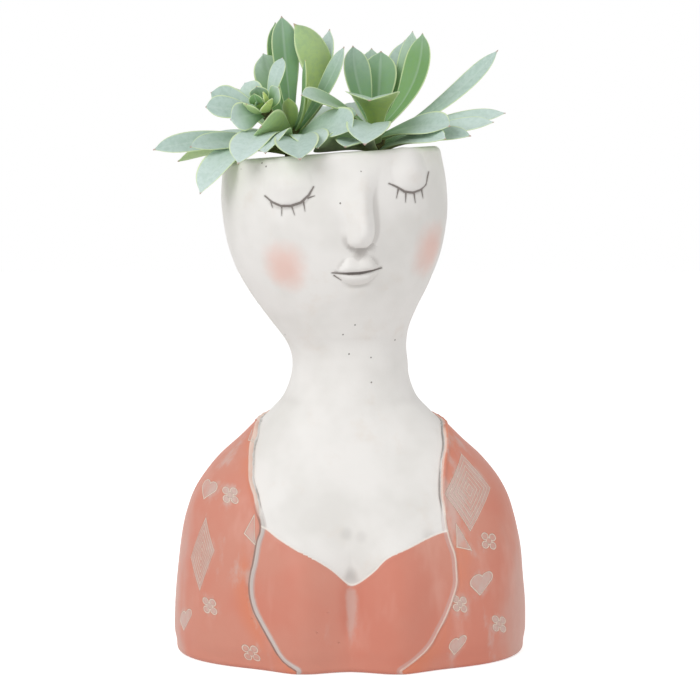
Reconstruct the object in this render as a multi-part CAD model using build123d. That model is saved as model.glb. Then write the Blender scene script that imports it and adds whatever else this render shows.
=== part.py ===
from build123d import *
from collections import namedtuple
import math
import os

# Head planter: a hollow cement bust with an open head that holds a planted pot.
# +Z is up, the figure faces -Y, and the origin is the middle of the base.
# Lengths are in millimetres and angles in degrees.
# A value whose name ends in share or shares is a part of the size it follows.

# Driving sizes of the casting
PLANTER_HEIGHT = 250.0
NECK_LINE = 146.0
BUST_WIDTH = 178.0
BUST_DEPTH = 104.0
NECK_WIDTH = 58.0
NECK_DEPTH = 56.0
HEAD_WIDTH = 112.0
HEAD_DEPTH = 106.0
HEAD_LEAN = 9.0
NECK_BACK = 3.0
HEAD_ROLL = 4.0
HEAD_YAW = 10.5
BUST_LOBE = 9.0
LOBE_SPREAD = 24.0
LOBE_SOFTNESS = 15.0
SHAWL_RELIEF = 1.6
DRESS_RELIEF = 0.8
BASE_ROUND = 2.5
RIM_ROUND = 3.0

# Driving sizes of the inside
WALL = 9.0
FLOOR = 10.0
FELT_THICKNESS = 1.0
FELT_INSET = 5.0
BOWL_TOP_RADIUS = 45.5
BOWL_FLOOR_RADIUS = 31.0
BOWL_DEPTH = 73.0
NECK_BORE_RADIUS = 18.0
CHAMBER_HEIGHT = 112.0
OVERRUN = 5.0

# Outline of the casting, row by row from the base to the rim.
# Bust and neck rows: height as a share of the way from the underside to NECK_LINE,
# half width and half depth as shares, shift to the back as a share of NECK_BACK,
# and the lobe as a share of BUST_LOBE
BUST_ROW_SHARES = (
    (0.000, 0.997, 1.00, 0.00, 0.72),
    (0.097, 1.000, 1.01, 0.00, 0.86),
    (0.194, 0.992, 1.00, 0.00, 1.00),
    (0.292, 0.980, 0.98, 0.00, 0.94),
    (0.389, 0.960, 0.96, 0.15, 0.62),
    (0.472, 0.930, 0.93, 0.35, 0.28),
    (0.542, 0.889, 0.885, 0.50, 0.10),
    (0.611, 0.818, 0.82, 0.65, 0.02),
    (0.667, 0.738, 0.757, 0.80, 0.00),
    (0.722, 0.638, 0.700, 1.00, 0.00),
    (0.778, 0.542, 0.650, 1.05, 0.00),
    (0.826, 0.462, 0.612, 1.05, 0.00),
)
NECK_ROW_SHARES = (
    (0.875, 1.170, 1.080, 1.00, 0.00),
    (0.917, 1.070, 1.035, 0.90, 0.00),
    (0.958, 1.015, 1.005, 0.80, 0.00),
    (1.000, 1.000, 1.000, 0.65, 0.00),
)
# Head rows: height as a share of the head's height, half width and half depth as
# shares, the share of the head's lean, roll and yaw, and the share of NECK_BACK
HEAD_ROW_SHARES = (
    (0.058, 0.521, 0.534, 0.10, 0.50),
    (0.115, 0.546, 0.558, 0.22, 0.35),
    (0.173, 0.595, 0.612, 0.36, 0.20),
    (0.231, 0.657, 0.675, 0.47, 0.10),
    (0.346, 0.782, 0.796, 0.59, 0.00),
    (0.462, 0.887, 0.892, 0.68, 0.00),
    (0.577, 0.957, 0.958, 0.75, 0.00),
    (0.692, 0.993, 0.992, 0.81, 0.00),
    (0.808, 1.000, 1.000, 0.89, 0.00),
    (0.913, 0.982, 0.985, 0.95, 0.00),
    (1.000, 0.957, 0.958, 1.00, 0.00),
)
OUTLINE_POINTS = 40
BUST_SQUARENESS = 2.25
HEAD_SQUARENESS = 2.08


# Shawl and dress, drawn on the front as shares of half BUST_WIDTH and of NECK_LINE
LEFT_LAPEL_SHARES = (
    (-0.411, 0.877), (-0.485, 0.820), (-0.521, 0.763), (-0.542, 0.685), (-0.537, 0.623),
    (-0.510, 0.562), (-0.487, 0.479), (-0.514, 0.418), (-0.544, 0.329), (-0.550, 0.260),
    (-0.523, 0.205), (-0.469, 0.144), (-0.389, 0.062),
)
RIGHT_LAPEL_SHARES = (
    (0.411, 0.877), (0.480, 0.832), (0.519, 0.774), (0.526, 0.719), (0.510, 0.658),
    (0.503, 0.589), (0.517, 0.527), (0.549, 0.452), (0.581, 0.390), (0.593, 0.308),
    (0.575, 0.247), (0.531, 0.188), (0.463, 0.116), (0.377, 0.055),
)
LEFT_NECKLINE_SHARES = ((-0.49, 0.485), (-0.391, 0.447), (-0.173, 0.377), (-0.096, 0.347), (0.006, 0.295))
RIGHT_NECKLINE_SHARES = ((0.006, 0.295), (0.080, 0.318), (0.202, 0.387), (0.319, 0.417), (0.535, 0.468))

# Face, placed by height above the base and by turn from the nose
FACE_ROLL = 6.0
LID_LINE = 238.0
LID_TURN = 32.5
LID_SPACING = 59.0
LID_WIDTH = 24.0
LID_HEIGHT = 21.0
LID_DEPTH = 4.0
LID_SUNK = 3.5
NOSE_FOOT = 204.0
NOSE_HEIGHT = 42.0
NOSE_WIDTH = 16.0
NOSE_DEPTH = 12.5
NOSE_ROOT = 2.5
NOSE_ROW_SHARES = (
    (0.00, 0.40, 0.30), (0.06, 0.84, 0.84), (0.15, 1.00, 1.00), (0.29, 0.92, 0.84),
    (0.48, 0.78, 0.58), (0.67, 0.70, 0.38), (0.86, 0.62, 0.22), (1.00, 0.50, 0.06),
)
MOUTH_LINE = 194.0
LIP_HEIGHT = 7.0
LIP_LAP_SHARE = 0.58
LIP_DEPTH = 3.2
LIP_SUNK = 3.0
UPPER_LIP_WIDTH = 20.0
LOWER_LIP_WIDTH = 16.0

# Drain hole in the floor and its rubber plug
DRAIN_BACK = 24.0
DRAIN_RADIUS = 8.0
RECESS_RADIUS = 13.0
RECESS_DEPTH = 4.0
FELT_HOLE_RADIUS = 14.0
PLUG_CLEARANCE = 0.3
PLUG_SEAT_GAP = 0.2
PLUG_MARGIN = 0.5
PLUG_FLANGE = 2.5
PLUG_TAPER = 0.6
PLUG_TAB_WIDTH = 12.0
PLUG_TAB_THICKNESS = 3.0
PLUG_TAB_HEIGHT = 2.0

# Nursery pot and what fills it, by height above the bowl's floor
POT_CLEARANCE = 1.0
POT_SEAT_GAP = 0.2
POT_WALL = 1.2
POT_FLOOR = 1.6
POT_FEET = 1.5
POT_HEIGHT = 69.0
POT_LIP = 3.0
POT_LIP_CLEARANCE = 0.35
POT_HOLES = 6
POT_HOLE_RING = 17.0
POT_HOLE_RADIUS = 3.0
FILL_GAP = 0.3
MESH_THICKNESS = 0.8
MESH_HOLE_RADIUS = 2.0
MESH_BAR = 1.6
CLAY_TOP = 16.0
SOIL_TOP = 62.0
GRIT_THICKNESS = 3.0

# Plants
PLANT_REACH = 100.0
LEAF_WIDTH = 20.0
LEAF_THICKNESS = 2.6
LEAF_CUP_SHARE = 0.16
LEAF_NEAR = 6.5
MARK_SHARES = (-0.8, 0.0, 0.8)
STEM_RADIUS = 5.0
STEM_FOOT_SHARE = 0.75
STEM_LEAFY = 13.0
SMALL_STEM_RADIUS = 3.2
SMALL_STEM_LEAFY = 7.0
FOCUS_REACH = 42.0
SMALL_FOCUS_REACH = 26.0
FOCUS_LOW_REACH = 80.0
SMALL_FOCUS_LOW_REACH = 40.0
# Leaf sections: share of the length, of the width and of the thickness
LEAF_ROW_SHARES = (
    (0.00, 0.30, 1.00), (0.15, 0.35, 1.00), (0.35, 0.60, 0.95), (0.52, 0.88, 0.85),
    (0.66, 1.00, 0.75), (0.80, 0.92, 0.62), (0.92, 0.52, 0.45), (1.00, 0.05, 0.25),
)
# Crowns and feet as shares of PLANT_REACH from above the middle of the base at rim height
RIGHT_CROWN_SHARES = (0.13, 0.00, 0.13)
RIGHT_FOOT_SHARES = (0.11, 0.00, -0.34)
BACK_CROWN_SHARES = (-0.29, 0.04, 0.12)
BACK_FOOT_SHARES = (-0.25, 0.04, -0.34)
SMALL_CROWN_SHARES = (-0.42, -0.20, 0.22)
SMALL_FOOT_SHARES = (-0.33, -0.01, 0.07)
# Leaves: tip's place as shares of PLANT_REACH, width share, bend share of the length,
# twist in degrees, and the seat as a share of the leafy length of the stem
RIGHT_LEAF_SHARES = {
    "right_plant_upright_leaves": (
        (0.014, 0.00, 0.528, 0.88, -0.06, -50, 0.80),
        (0.155, 0.12, 0.508, 0.85, -0.08, 0, 0.90),
        (0.358, 0.00, 0.590, 0.86, -0.12, 45, 0.80),
        (0.109, 0.22, 0.527, 0.70, -0.08, 0, 0.70),
        (0.313, 0.14, 0.608, 0.60, -0.10, 20, 0.60),
        (0.279, 0.22, 0.569, 0.80, -0.10, 20, 0.50),
        (0.736, 0.06, 0.510, 0.48, -0.06, 50, 0.40),
    ),
    "right_plant_front_leaves": (
        (0.091, -0.42, 0.249, 1.30, 0.19, 0, 0.75),
        (-0.235, -0.30, 0.279, 0.84, 0.08, -32, 0.60),
        (0.482, -0.30, 0.130, 0.85, 0.06, 40, 0.50),
        (0.069, -0.54, 0.040, 1.05, 0.20, 0, 0.20),
        (-0.166, -0.42, 0.030, 0.80, 0.05, 45, 0.10),
    ),
    "right_plant_low_leaves": (
        (0.773, 0.02, 0.198, 0.52, 0.03, 45, 0.30),
        (0.705, -0.12, 0.152, 0.55, 0.03, 40, 0.15),
        (0.586, -0.24, 0.084, 0.60, 0.06, 35, 0.05),
        (0.459, -0.36, 0.070, 0.65, 0.06, 35, 0.00),
        (-0.024, -0.50, 0.030, 0.80, 0.08, 0, 0.00),
    ),
    "right_plant_rear_leaves": (
        (0.450, 0.42, 0.160, 0.80, 0.00, 0, 0.30),
        (0.020, 0.46, 0.260, 0.80, 0.00, 0, 0.35),
        (0.620, 0.27, 0.160, 0.80, 0.04, 0, 0.10),
        (0.240, 0.50, 0.100, 0.90, 0.05, 0, 0.10),
    ),
}
BACK_LEAF_SHARES = {
    "back_plant_upright_leaves": (
        (-0.340, 0.06, 0.677, 0.70, -0.02, 15, 0.90),
        (-0.220, -0.12, 0.453, 0.55, -0.15, 70, 0.80),
        (-0.300, -0.14, 0.270, 0.40, -0.12, -20, 0.98),
        (-0.280, 0.05, 0.640, 0.90, -0.26, -70, 0.80),
        (-0.029, -0.08, 0.520, 0.50, -0.05, 65, 0.70),
        (-0.375, 0.14, 0.652, 0.60, -0.06, 0, 0.70),
        (-0.433, 0.08, 0.494, 0.92, 0.00, -50, 0.60),
        (-0.103, 0.20, 0.621, 0.80, -0.08, 0, 0.60),
    ),
    "back_plant_front_leaves": (
        (0.035, -0.28, 0.185, 0.60, 0.04, 40, 0.65),
        (-0.430, -0.35, 0.125, 0.96, 0.03, 42, 0.76),
        (0.012, -0.44, 0.110, 1.00, 0.10, 45, 0.40),
        (-0.529, -0.50, -0.049, 0.92, 0.18, -10, 0.25),
        (-0.232, -0.66, -0.029, 1.05, 0.12, 0, 0.15),
        (-0.400, -0.50, 0.000, 0.85, 0.16, 10, 0.10),
        (-0.150, -0.50, 0.024, 0.88, 0.14, 5, 0.05),
    ),
    "back_plant_long_leaves": (
        (-0.961, -0.18, 0.016, 0.62, 0.05, -50, 0.35),
        (-0.775, -0.26, 0.030, 0.60, 0.06, -45, 0.20),
        (-0.848, -0.10, -0.040, 0.78, 0.08, 20, 0.05),
        (-0.720, -0.36, -0.194, 0.90, 0.20, -15, 0.10),
    ),
    "back_plant_rear_leaves": (
        (-0.620, 0.34, 0.340, 0.80, -0.04, 0, 0.50),
        (-0.140, 0.50, 0.240, 0.90, 0.02, 0, 0.40),
        (-0.720, 0.30, 0.100, 0.80, 0.05, 0, 0.20),
        (-0.480, 0.52, 0.120, 0.90, 0.05, 0, 0.20),
    ),
}
SMALL_LEAF_SHARES = {
    "left_rosette_heart": (
        (-0.445, -0.27, 0.262, 0.30, -0.14, 0, 0.98),
        (-0.420, -0.28, 0.286, 0.34, -0.14, 0, 0.94),
        (-0.462, -0.29, 0.286, 0.36, -0.14, 0, 0.90),
    ),
    "left_rosette_leaves": (
        (-0.402, -0.32, 0.243, 0.44, -0.12, 0, 0.80),
        (-0.498, -0.31, 0.236, 0.46, -0.12, 0, 0.76),
        (-0.452, -0.24, 0.322, 0.48, -0.10, 0, 0.72),
        (-0.344, -0.24, 0.315, 0.56, -0.08, 0, 0.60),
        (-0.518, -0.08, 0.344, 0.60, -0.05, 0, 0.50),
        (-0.682, -0.12, 0.296, 0.66, -0.02, 0, 0.35),
        (-0.576, -0.30, 0.161, 0.70, 0.02, -50, 0.40),
        (-0.700, -0.24, 0.223, 0.70, 0.02, 0, 0.20),
        (-0.330, -0.10, 0.466, 0.42, 0.02, 0, 0.40),
    ),
}

HEAD_AXIS = Vector(0, 0, 1).rotate(Axis.Y, -HEAD_ROLL)
RIM_CENTRE = Vector(-HEAD_LEAN, 0, PLANTER_HEIGHT)


# Each station is one level section of the casting
Station = namedtuple("Station", "height half_width half_depth side back lobe squareness turn")


def lower_station(row, width, depth, squareness):
    height_share, width_share, depth_share, back_share, lobe_share = row
    height = FELT_THICKNESS + height_share * (NECK_LINE - FELT_THICKNESS)
    return Station(height, width_share * width / 2, depth_share * depth / 2, 0,
                   back_share * NECK_BACK, lobe_share * BUST_LOBE, squareness, 0)


def head_station(row):
    height_share, width_share, depth_share, lean_share, back_share = row
    height = NECK_LINE + height_share * (PLANTER_HEIGHT - NECK_LINE)
    return Station(height, width_share * HEAD_WIDTH / 2, depth_share * HEAD_DEPTH / 2,
                   -lean_share * HEAD_LEAN, back_share * NECK_BACK, 0, HEAD_SQUARENESS, lean_share)


BUST_STATIONS = [lower_station(row, BUST_WIDTH, BUST_DEPTH, BUST_SQUARENESS) for row in BUST_ROW_SHARES]
NECK_STATIONS = [lower_station(row, NECK_WIDTH, NECK_DEPTH, HEAD_SQUARENESS) for row in NECK_ROW_SHARES]
HEAD_STATIONS = [head_station(row) for row in HEAD_ROW_SHARES]
STATIONS = BUST_STATIONS + NECK_STATIONS + HEAD_STATIONS


def outline(station, extra=0):
    """Closed wire round the casting at one station, grown by extra."""
    points = []
    for step in range(OUTLINE_POINTS):
        angle = 2 * math.pi * step / OUTLINE_POINTS
        across, along = math.sin(angle), -math.cos(angle)
        power = 2 / station.squareness
        x = math.copysign(abs(across) ** power, across) * (station.half_width + extra)
        y = math.copysign(abs(along) ** power, along) * (station.half_depth + extra)
        if along < 0:
            fullness = math.exp(-((abs(x) - LOBE_SPREAD) / LOBE_SOFTNESS) ** 2)
            y += station.lobe * fullness * along
        turned = Vector(x, y, 0).rotate(Axis.Z, station.turn * HEAD_YAW)
        turned = turned.rotate(Axis.Y, -station.turn * HEAD_ROLL)
        points.append(turned + Vector(station.side, station.back, station.height))
    return Wire([Edge.make_spline(points, periodic=True)])


def skin(stations, extra=0):
    """Solid lofted through the given stations."""
    return Solid.make_loft([outline(station, extra) for station in stations])


def station_at(height):
    """Section of the casting at any height, between two stations."""
    for low, high in zip(STATIONS, STATIONS[1:]):
        if height <= high.height:
            break
    share = (height - low.height) / (high.height - low.height)
    return Station(*[start + share * (end - start) for start, end in zip(low, high)])


def front_point(across, height):
    """Point of the skin on the figure's front."""
    here = station_at(height)
    across = math.copysign(min(abs(across), here.half_width), across)
    reach = abs(across) / here.half_width
    along = -(1 - reach ** here.squareness) ** (1 / here.squareness)
    fullness = math.exp(-((abs(across) - LOBE_SPREAD) / LOBE_SOFTNESS) ** 2)
    return Vector(across, along * (here.half_depth + here.lobe * fullness) + here.back, height)


def front_points(share_rows):
    return [front_point(across * BUST_WIDTH / 2, height * NECK_LINE) for across, height in share_rows]


def bead(points, radius):
    """Round bead along a smooth line."""
    path = Edge.make_spline(points)
    ring = Wire([Edge.make_circle(radius, Plane(origin=path @ 0, z_dir=path % 0))])
    return Solid.sweep(Face(ring), Wire([path]))


def garment_edges():
    """Rolled edge of the shawl down both lapels, and the dress's neckline."""
    edges = [bead(front_points(rows), SHAWL_RELIEF) for rows in (LEFT_LAPEL_SHARES, RIGHT_LAPEL_SHARES)]
    edges += [bead(front_points(rows), DRESS_RELIEF) for rows in (LEFT_NECKLINE_SHARES, RIGHT_NECKLINE_SHARES)]
    return edges


def face_spot(height, turn_from_nose):
    """Place on the face: on the skin, with its z axis pointing outwards and y up."""
    here = station_at(height)
    angle = math.radians(HEAD_YAW + turn_from_nose)
    outwards = Vector(math.sin(angle), -math.cos(angle), 0)
    slant = math.hypot(outwards.X * here.half_depth, outwards.Y * here.half_width)
    spot = Vector(here.side, here.back, height) + outwards * (here.half_width * here.half_depth / slant)
    level = Vector(0, 0, 1).cross(outwards).rotate(Axis((0, 0, 0), tuple(outwards)), FACE_ROLL)
    return Plane(origin=spot, x_dir=level, z_dir=outwards)


def pebble(place, half_width, half_height, half_depth, sunk):
    """Rounded lump of the given half sizes, sunk into the skin."""
    lump = scale(Sphere(1), by=(half_width, half_height, half_depth))
    return place * Pos(0, 0, -sunk) * lump


def nose():
    """Long nose from the forehead to its rounded tip."""
    rings = []
    for height_share, width_share, depth_share in NOSE_ROW_SHARES:
        place = face_spot(NOSE_FOOT + height_share * NOSE_HEIGHT, 0)
        level = Plane(origin=place.origin, x_dir=place.x_dir, z_dir=(0, 0, 1))
        depth = NOSE_ROOT + depth_share * NOSE_DEPTH
        ring = Ellipse(width_share * NOSE_WIDTH / 2, depth).edges()[0]
        rings.append(Wire([level.from_local_coords(ring)]))
    return Solid.make_loft(rings)


def face():
    """Closed lids, nose and lips."""
    lid_rise = LID_SPACING * math.tan(math.radians(FACE_ROLL)) / 2
    forms = [nose()]
    for side in (-1, 1):
        place = face_spot(LID_LINE + side * lid_rise, side * LID_TURN)
        forms.append(pebble(place, LID_WIDTH / 2, LID_HEIGHT / 2, LID_DEPTH + LID_SUNK, LID_SUNK))
    upper = face_spot(MOUTH_LINE + LIP_HEIGHT / 2, 0)
    lower = face_spot(MOUTH_LINE - LIP_HEIGHT / 2, 0)
    forms.append(pebble(upper, UPPER_LIP_WIDTH / 2, LIP_HEIGHT * LIP_LAP_SHARE, LIP_DEPTH + LIP_SUNK, LIP_SUNK))
    forms.append(pebble(lower, LOWER_LIP_WIDTH / 2, LIP_HEIGHT * LIP_LAP_SHARE, LIP_DEPTH + LIP_SUNK, LIP_SUNK))
    return forms


def bowl_place(height):
    """Plane square to the head's axis, at a height above the bowl's floor."""
    origin = RIM_CENTRE + HEAD_AXIS * (height - BOWL_DEPTH)
    return Plane(origin=origin, x_dir=(HEAD_AXIS.Z, 0, -HEAD_AXIS.X), z_dir=HEAD_AXIS)


def bowl_radius(height):
    """Inner radius of the bowl at a height above its floor."""
    return BOWL_FLOOR_RADIUS + (BOWL_TOP_RADIUS - BOWL_FLOOR_RADIUS) * height / BOWL_DEPTH


def cone(place, low_radius, high_radius, height):
    return Solid.make_cone(low_radius, high_radius, height, place)


def hollow():
    """Everything that is empty inside the casting."""
    bowl = cone(bowl_place(0), bowl_radius(0), bowl_radius(BOWL_DEPTH + OVERRUN), BOWL_DEPTH + OVERRUN)
    low = [BUST_STATIONS[1]._replace(height=FELT_THICKNESS + FLOOR)]
    inner = [station for station in BUST_STATIONS[2:] if station.height < CHAMBER_HEIGHT]
    top = [BUST_STATIONS[-2]._replace(height=CHAMBER_HEIGHT)]
    chamber = skin(low + inner + top, -WALL)
    foot = Vector(0, NECK_BACK, CHAMBER_HEIGHT - OVERRUN)
    way = bowl_place(OVERRUN).origin - foot
    passage = Solid.make_cylinder(NECK_BORE_RADIUS, way.length, Plane(origin=foot, z_dir=way))
    hole = Pos(0, DRAIN_BACK, FELT_THICKNESS) * up_cylinder(DRAIN_RADIUS, FLOOR + OVERRUN)
    recess = Pos(0, DRAIN_BACK, FELT_THICKNESS - OVERRUN) * up_cylinder(RECESS_RADIUS, RECESS_DEPTH + OVERRUN)
    return [bowl, chamber, passage, hole, recess]


def up_cylinder(radius, height):
    return Cylinder(radius, height, align=(Align.CENTER, Align.CENTER, Align.MIN))


def bust_casting():
    """The one cement casting: head, neck, chest, dress and shawl."""
    body = Part() + skin(STATIONS)
    body = fillet(body.faces().sort_by(Axis.Z)[-1].edges(), RIM_ROUND)
    body = fillet(body.faces().sort_by(Axis.Z)[0].edges(), BASE_ROUND)
    for form in garment_edges() + face():
        body = body + form
    for space in hollow():
        body = body - space
    return body


def base_felt():
    """Felt sheet under the casting, open round the plug."""
    footprint = Face(outline(BUST_STATIONS[0]._replace(height=0), -FELT_INSET))
    sheet = extrude(footprint, FELT_THICKNESS, dir=(0, 0, 1))
    return sheet - Pos(0, DRAIN_BACK, -OVERRUN) * up_cylinder(FELT_HOLE_RADIUS, FELT_THICKNESS + 2 * OVERRUN)


def drain_plug():
    """Rubber plug with a flange in the recess and a pull tab under it."""
    seat = FELT_THICKNESS + RECESS_DEPTH - PLUG_SEAT_GAP
    shank_radius = DRAIN_RADIUS - PLUG_CLEARANCE
    flange = Pos(0, 0, seat - PLUG_FLANGE) * up_cylinder(RECESS_RADIUS - PLUG_MARGIN, PLUG_FLANGE)
    shank = Pos(0, 0, seat) * cone(Plane.XY, shank_radius, shank_radius - PLUG_TAPER, FLOOR - RECESS_DEPTH)
    lip = Pos(0, 0, seat + PLUG_SEAT_GAP) * up_cylinder(shank_radius, PLUG_TAPER)
    tab = Pos(0, 0, seat - PLUG_FLANGE) * Box(PLUG_TAB_WIDTH, PLUG_TAB_THICKNESS, PLUG_TAB_HEIGHT,
                                             align=(Align.CENTER, Align.CENTER, Align.MAX))
    return Pos(0, DRAIN_BACK, 0) * (flange + shank + lip + tab)


def pot_fill(bottom, top, gap):
    """Round filling of the pot between two heights above the bowl's floor."""
    low = bowl_radius(bottom) - POT_CLEARANCE - POT_WALL - gap
    high = bowl_radius(top) - POT_CLEARANCE - POT_WALL - gap
    return cone(bowl_place(bottom), low, high, top - bottom)


def nursery_pot():
    """Thin plastic pot with a rolled lip, feet and drain holes."""
    base = POT_FEET
    low = bowl_radius(base) - POT_CLEARANCE
    high = bowl_radius(POT_HEIGHT) - POT_CLEARANCE
    lip_radius = bowl_radius(POT_HEIGHT - POT_LIP) - POT_LIP_CLEARANCE
    shell = Part() + cone(bowl_place(base), low, high, POT_HEIGHT - base)
    shell = shell - pot_fill(base + POT_FLOOR, POT_HEIGHT + OVERRUN, 0)
    lip_place = bowl_place(POT_HEIGHT - POT_LIP)
    lip = Part() + lip_place * up_cylinder(lip_radius, POT_LIP)
    lip = lip - lip_place * up_cylinder(high - POT_WALL, POT_LIP)
    body = shell + lip
    for step in range(POT_HOLES):
        spot = Rot(0, 0, 360 * step / POT_HOLES) * Pos(POT_HOLE_RING, 0, 0)
        hole = bowl_place(0) * spot * up_cylinder(POT_HOLE_RADIUS, base + POT_FLOOR + OVERRUN)
        body = body - hole
        turned = Rot(0, 0, 360 * (step + 0.5) / POT_HOLES) * Pos(POT_HOLE_RING, 0, 0)
        body = body + bowl_place(POT_SEAT_GAP) * turned * up_cylinder(POT_HOLE_RADIUS, base)
    return body


def drain_mesh():
    """Plastic mesh disc over the pot's drain holes."""
    bottom = POT_FEET + POT_FLOOR
    disc = Part() + pot_fill(bottom, bottom + MESH_THICKNESS, FILL_GAP)
    pitch = 2 * MESH_HOLE_RADIUS + MESH_BAR
    reach = math.floor((BOWL_FLOOR_RADIUS - POT_WALL) / pitch)
    holes = []
    for column in range(-reach, reach + 1):
        for row in range(-reach, reach + 1):
            if math.hypot(column, row) <= reach - 1:
                place = Pos(column * pitch, row * pitch, bottom - MESH_THICKNESS)
                holes.append(place * up_cylinder(MESH_HOLE_RADIUS, 3 * MESH_THICKNESS))
    return disc - [bowl_place(0) * hole for hole in holes]


def plant_spot(shares):
    """Point of a plant from shares of PLANT_REACH, from above the middle of the base at rim height."""
    across, back, up = shares
    return Vector(across * PLANT_REACH, back * PLANT_REACH, PLANTER_HEIGHT + up * PLANT_REACH)


def stem(foot, crown, radius):
    """Round stem from its foot in the soil to its crown."""
    way = crown - foot
    return cone(Plane(origin=foot, z_dir=way), radius * STEM_FOOT_SHARE, radius, way.length)


def square_to(vector, heading):
    """Unit vector that points as vector does, square to heading."""
    return (vector - heading * (vector.dot(heading) / heading.dot(heading))).normalized()


def leaf(seat, focus, row):
    """Fleshy leaf, lofted from lens-shaped sections along a bent line, and points across it."""
    tip = plant_spot(row[:3])
    width_share, bow_share, twist = row[3:6]
    chord = tip - seat
    middle = (seat + tip) * 0.5
    control = middle + square_to(focus - middle, chord) * (2 * bow_share * chord.length)
    rings = []
    marks = []
    for along, spread_share, thick_share in LEAF_ROW_SHARES:
        spot = seat * (1 - along) ** 2 + control * (2 * along * (1 - along)) + tip * along ** 2
        heading = ((control - seat) * (1 - along) + (tip - control) * along).normalized()
        up = square_to(focus - spot, heading).rotate(Axis((0, 0, 0), tuple(heading)), twist)
        side = heading.cross(up)
        half = spread_share * width_share * LEAF_WIDTH / 2
        thick = thick_share * LEAF_THICKNESS
        cup = LEAF_CUP_SHARE * half
        left = spot - side * half + up * cup
        right = spot + side * half + up * cup
        over = Edge.make_bezier(left, spot + up * (thick - cup), right)
        under = Edge.make_bezier(right, spot - up * (thick + cup), left)
        rings.append(Wire([over, under]))
        marks += [spot + side * (half * share) for share in MARK_SHARES]
    return Solid.make_loft(rings), marks


def near(one, other):
    """Whether two leaves come close enough to touch."""
    return any((here - there).length < LEAF_NEAR for here in one for there in other)


def apart(new, marks, trunk, placed):
    """Trim a leaf by the stem and by the leaves it lies on, and keep its largest piece."""
    for tool in [trunk] + [blade for blade, blade_marks in placed if near(marks, blade_marks)]:
        new = sorted((new - tool).solids(), key=lambda piece: piece.volume)[-1]
    return new


def plant(crown_shares, foot, groups, stem_radius, leafy, reach, low_reach, placed):
    """Leaves of one plant by group, each trimmed by the stem and the leaves before it."""
    crown = plant_spot(crown_shares)
    axis = (crown - foot).normalized()
    trunk = stem(foot, crown, stem_radius)
    made = {}
    for name, rows in groups.items():
        made[name] = []
        for row in rows:
            lowness = 1 - row[6]
            seat = crown - axis * (leafy * lowness)
            focus = crown + axis * (reach + low_reach * lowness ** 2)
            blade, marks = leaf(seat, focus, row)
            blade = apart(blade, marks, trunk, placed)
            placed.append((blade, marks))
            made[name].append(blade)
    return trunk, made


def pot_group():
    """Everything in the nursery pot: its fillings and the three plants."""
    clay_bottom = POT_FEET + POT_FLOOR + MESH_THICKNESS
    clay = Part() + pot_fill(clay_bottom, CLAY_TOP, FILL_GAP)
    soil = Part() + pot_fill(CLAY_TOP, SOIL_TOP, FILL_GAP)
    grit = Part() + pot_fill(SOIL_TOP, SOIL_TOP + GRIT_THICKNESS, FILL_GAP)
    right_foot = plant_spot(RIGHT_FOOT_SHARES)
    back_foot = plant_spot(BACK_FOOT_SHARES)
    small_foot = plant_spot(SMALL_FOOT_SHARES)
    placed = []
    parts = {"nursery_pot": nursery_pot(), "drain_mesh": drain_mesh(), "clay_drainage": clay}
    small_stem, small = plant(SMALL_CROWN_SHARES, small_foot, SMALL_LEAF_SHARES,
                              SMALL_STEM_RADIUS, SMALL_STEM_LEAFY, SMALL_FOCUS_REACH,
                              SMALL_FOCUS_LOW_REACH, placed)
    placed.append((small_stem, [plant_spot(SMALL_CROWN_SHARES), small_foot]))
    right_stem, right = plant(RIGHT_CROWN_SHARES, right_foot, RIGHT_LEAF_SHARES,
                              STEM_RADIUS, STEM_LEAFY, FOCUS_REACH, FOCUS_LOW_REACH, placed)
    back_stem, back = plant(BACK_CROWN_SHARES, back_foot, BACK_LEAF_SHARES,
                            STEM_RADIUS, STEM_LEAFY, FOCUS_REACH, FOCUS_LOW_REACH, placed)
    parts["left_rosette_stem"] = small_stem - back_stem
    parts["right_plant_stem"] = right_stem
    parts["back_plant_stem"] = back_stem
    for trunk in (right_stem, back_stem):
        soil = soil - trunk
        grit = grit - trunk
    parts["growing_mix"] = soil
    parts["grit_dressing"] = grit
    for made in (small, right, back):
        parts.update({name: Compound(children=blades) for name, blades in made.items()})
    return parts


def main():
    os.makedirs("parts", exist_ok=True)
    parts = {"bust_casting": bust_casting(), "base_felt": base_felt(), "drain_plug": drain_plug()}
    parts.update(pot_group())
    for name, shape in parts.items():
        export_step(shape, f"parts/{name}.step")
        print(name, len(shape.solids()), "solid(s)", round(shape.volume), "mm3")


main()
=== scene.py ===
import math

import bmesh
import bpy
import numpy as np
from bpy.props import FloatProperty, FloatVectorProperty, IntProperty, PointerProperty
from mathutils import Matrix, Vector
from mathutils.bvhtree import BVHTree


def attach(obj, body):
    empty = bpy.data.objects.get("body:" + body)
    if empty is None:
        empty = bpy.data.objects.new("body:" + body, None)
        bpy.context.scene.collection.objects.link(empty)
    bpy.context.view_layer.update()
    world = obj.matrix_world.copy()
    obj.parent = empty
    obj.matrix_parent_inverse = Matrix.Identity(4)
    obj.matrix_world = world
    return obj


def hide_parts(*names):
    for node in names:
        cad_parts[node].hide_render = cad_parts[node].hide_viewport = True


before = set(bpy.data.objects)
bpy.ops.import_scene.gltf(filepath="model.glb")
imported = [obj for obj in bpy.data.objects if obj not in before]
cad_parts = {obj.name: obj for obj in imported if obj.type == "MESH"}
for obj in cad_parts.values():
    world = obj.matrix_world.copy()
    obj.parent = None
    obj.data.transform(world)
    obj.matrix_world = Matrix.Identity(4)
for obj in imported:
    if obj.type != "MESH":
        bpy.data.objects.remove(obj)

bl_info = {
    "name": "Head Planter",
    "version": (1, 0, 0),
    "blender": (4, 5, 0),
    "location": "View3D > Sidebar > Planter",
    "description": "Painted cement head planter with a lift-out pot of rosette succulents",
    "category": "Add Mesh",
}

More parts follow.
